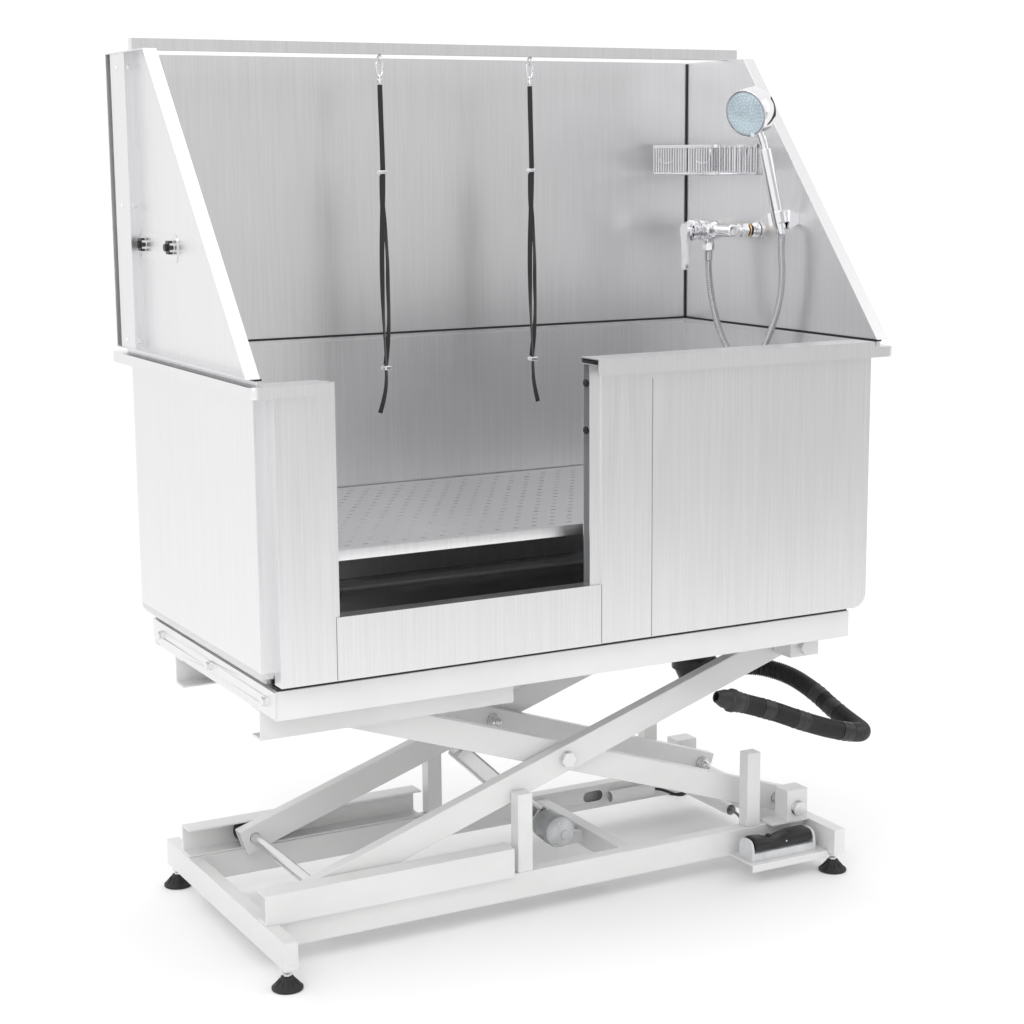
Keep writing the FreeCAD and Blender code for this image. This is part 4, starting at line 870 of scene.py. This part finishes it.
def holder():
    way = (HANDLE_HIGH - HANDLE_LOW).normalized()
    middle = HANDLE_LOW + way * 22 * MM
    bm = bmesh.new()
    side, other = basis(way)
    open_way = (-AXIS_X - way * (-AXIS_X).dot(way)).normalized()
    start = math.atan2(open_way.dot(other), open_way.dot(side))
    gap = math.radians(38)
    rows = []
    turns = [start + gap + (2 * math.pi - 2 * gap) * k / 36 for k in range(37)]
    for turn in turns:
        ray = side * math.cos(turn) + other * math.sin(turn)
        outline = [(12.2, -12), (17.2, -12), (18.4, -10.6), (19.0, 10.6), (17.8, 12), (12.5, 12)]
        rows.append([bm.verts.new(middle + (ray * radius + way * along) * MM) for radius, along in outline])
    for a, b in zip(rows, rows[1:]):
        for k in range(len(a)):
            bm.faces.new([a[k], a[(k + 1) % len(a)], b[(k + 1) % len(a)], b[k]])
    bm.faces.new(rows[0])
    bm.faces.new(rows[-1])
    x, z = middle.x / MM, middle.z / MM
    wedge = [(x + 14.5, z - 21), (WALL_X - 0.3, z - 12), (WALL_X - 0.3, z + 6), (x + 14.5, z + 15)]
    prism(bm, wedge, Vector((0, middle.y, 0)), AXIS_X, UP, 34)
    piece("shower_holder_clip", bm, CHROME, "platform", ("shower_holder",))


# ---- tub trim -----------------------------------------------------------------------------------
DOOR_LEFT, DOOR_RIGHT, PANEL_EDGE = -488, 18, 122


def tub_trim():
    side_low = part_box("splash_sides")[0]
    back_low, back_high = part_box("splash_back")
    inside, back = back_high.x / MM, back_low.y / MM
    bottom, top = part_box("splash_seals")[1].z / MM, back_high.z / MM
    bm = bmesh.new()
    for side in (-1, 1):
        x = sorted((side * (inside - 3.0), side * (inside - 0.3)))
        block(bm, (x[0], back - 3.0, bottom), (x[1], back - 0.3, top - 2), 0.8)
        x = sorted((side * (inside - 2.4), side * (inside - 0.2)))
        block(bm, (x[0], side_low.y / MM + 4, bottom - 3.4), (x[1], back - 1, bottom + 0.8), 0.7)
    block(bm, (-inside + 1, back - 2.4, bottom - 3.4), (inside - 1, back - 0.2, bottom + 0.8), 0.7)
    piece("splash_corner_seals", bm, BLACK_RUBBER, "platform")

    # The right-hand door guide has a pale wiper in its slot and two knobs that hold a door.
    low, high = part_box("door_guides")
    sill, rim_top, edge = low.z / MM, high.z / MM, high.x / MM
    bm = bmesh.new()
    block(bm, (edge - 9, -323.5, sill + 1), (edge - 3, -319.5, rim_top - 1), 0.8)
    piece("door_wiper", bm, LIGHT_PLASTIC, "platform")
    bm = bmesh.new()
    for height in (912, 994):
        lathe(bm, [(0, 5.6), (1, 6.6), (5, 6.6), (6, 5.4), (6.2, 0)], mm(edge - 20, -315, height), -AXIS_X,
              24)
    piece("door_knobs", bm, BLACK_PLASTIC, "platform")

    # Seams between the door frame's pillars, sill and panel.
    low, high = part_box("door_frame")
    front, foot = low.y / MM, low.z / MM
    bm = bmesh.new()
    for x, top in ((DOOR_LEFT, sill), (DOOR_RIGHT, sill), (PANEL_EDGE, rim_top - 30)):
        block(bm, (x - 0.7, front - 0.25, foot + 1), (x + 0.7, front + 0.5, top), 0.1)
    piece("door_frame_seams", bm, CABLE_GREY, "platform")

    # Black hexagon caps over the two blanked holes of the left splash wall.
    bm = bmesh.new()
    for y in INLET_Y:
        hexagon(bm, 23, mm(-615.2, y, MIXER.z / MM), -AXIS_X, 8.4, 1.0)
        lathe(bm, [(0, 6.4), (4.6, 6.4), (5.4, 5.6), (5.6, 0)], mm(-623.4, y, MIXER.z / MM), -AXIS_X, 20)
    piece("wall_plug_caps", bm, BLACK_PLASTIC, "platform")


feet()
foot_control()
motor()
grates()
basket()
mixer()
handset()
holder()
tub_trim()


# ---- studio -------------------------------------------------------------------------------------
def card(name, centre, facing, width, height, tone, strength):
    """A glowing or dark reflector that only reflections see."""
    material = bpy.data.materials.new(name)
    material.use_nodes = True
    material.node_tree.nodes.clear()
    glow = material.node_tree.nodes.new("ShaderNodeEmission")
    glow.inputs["Color"].default_value = (tone, tone, tone, 1)
    glow.inputs["Strength"].default_value = strength
    out = material.node_tree.nodes.new("ShaderNodeOutputMaterial")
    material.node_tree.links.new(glow.outputs[0], out.inputs[0])
    bm = bmesh.new()
    side, other = basis(Vector(facing).normalized())
    corners = [bm.verts.new(Vector(centre) + side * a * width / 2 + other * b * height / 2)
               for a, b in ((-1, -1), (1, -1), (1, 1), (-1, 1))]
    bm.faces.new(corners)
    made = piece(name, bm, material, None)
    made.visible_camera = made.visible_diffuse = made.visible_shadow = False


def studio():
    bm = bmesh.new()
    corners = [bm.verts.new((x, y, 0)) for x, y in ((-30, -30), (30, -30), (30, 30), (-30, 30))]
    bm.faces.new(corners)
    pale = Shade("pale_floor", Roughness=0.9)
    pale.shader.inputs["Base Color"].default_value = (0.98, 0.98, 0.98, 1)
    floor = piece("floor", bm, pale.material, None)
    world = bpy.data.worlds.new("studio")
    world.use_nodes = True
    world.node_tree.nodes["Background"].inputs["Color"].default_value = (1, 1, 1, 1)
    world.node_tree.nodes["Background"].inputs["Strength"].default_value = 1.05
    bpy.context.scene.world = world
    bpy.context.scene.view_settings.view_transform = "Standard"
    for name, place, power, size in (("key", (-2.6, -2.6, 3.4), 26, 1.6), ("fill", (2.8, -1.5, 2.4), 6, 2.0),
                                     ("top", (0.0, 0.2, 3.6), 14, 2.0)):
        data = bpy.data.lights.new(name, "AREA")
        data.energy, data.size = power, size
        light = bpy.data.objects.new(name, data)
        light.location = place
        light.rotation_euler = (Vector((0, 0, 0.8)) - Vector(place)).to_track_quat("-Z", "Y").to_euler()
        bpy.context.scene.collection.objects.link(light)
    card("card_front_right", (1.9, -2.6, 1.0), (-0.5, 0.85, 0), 4.4, 4.0, 0.64, 1.0)
    card("card_right", (3.6, 1.0, 1.4), (-1, 0, 0), 1.0, 3.0, 0.08, 1.0)


studio()
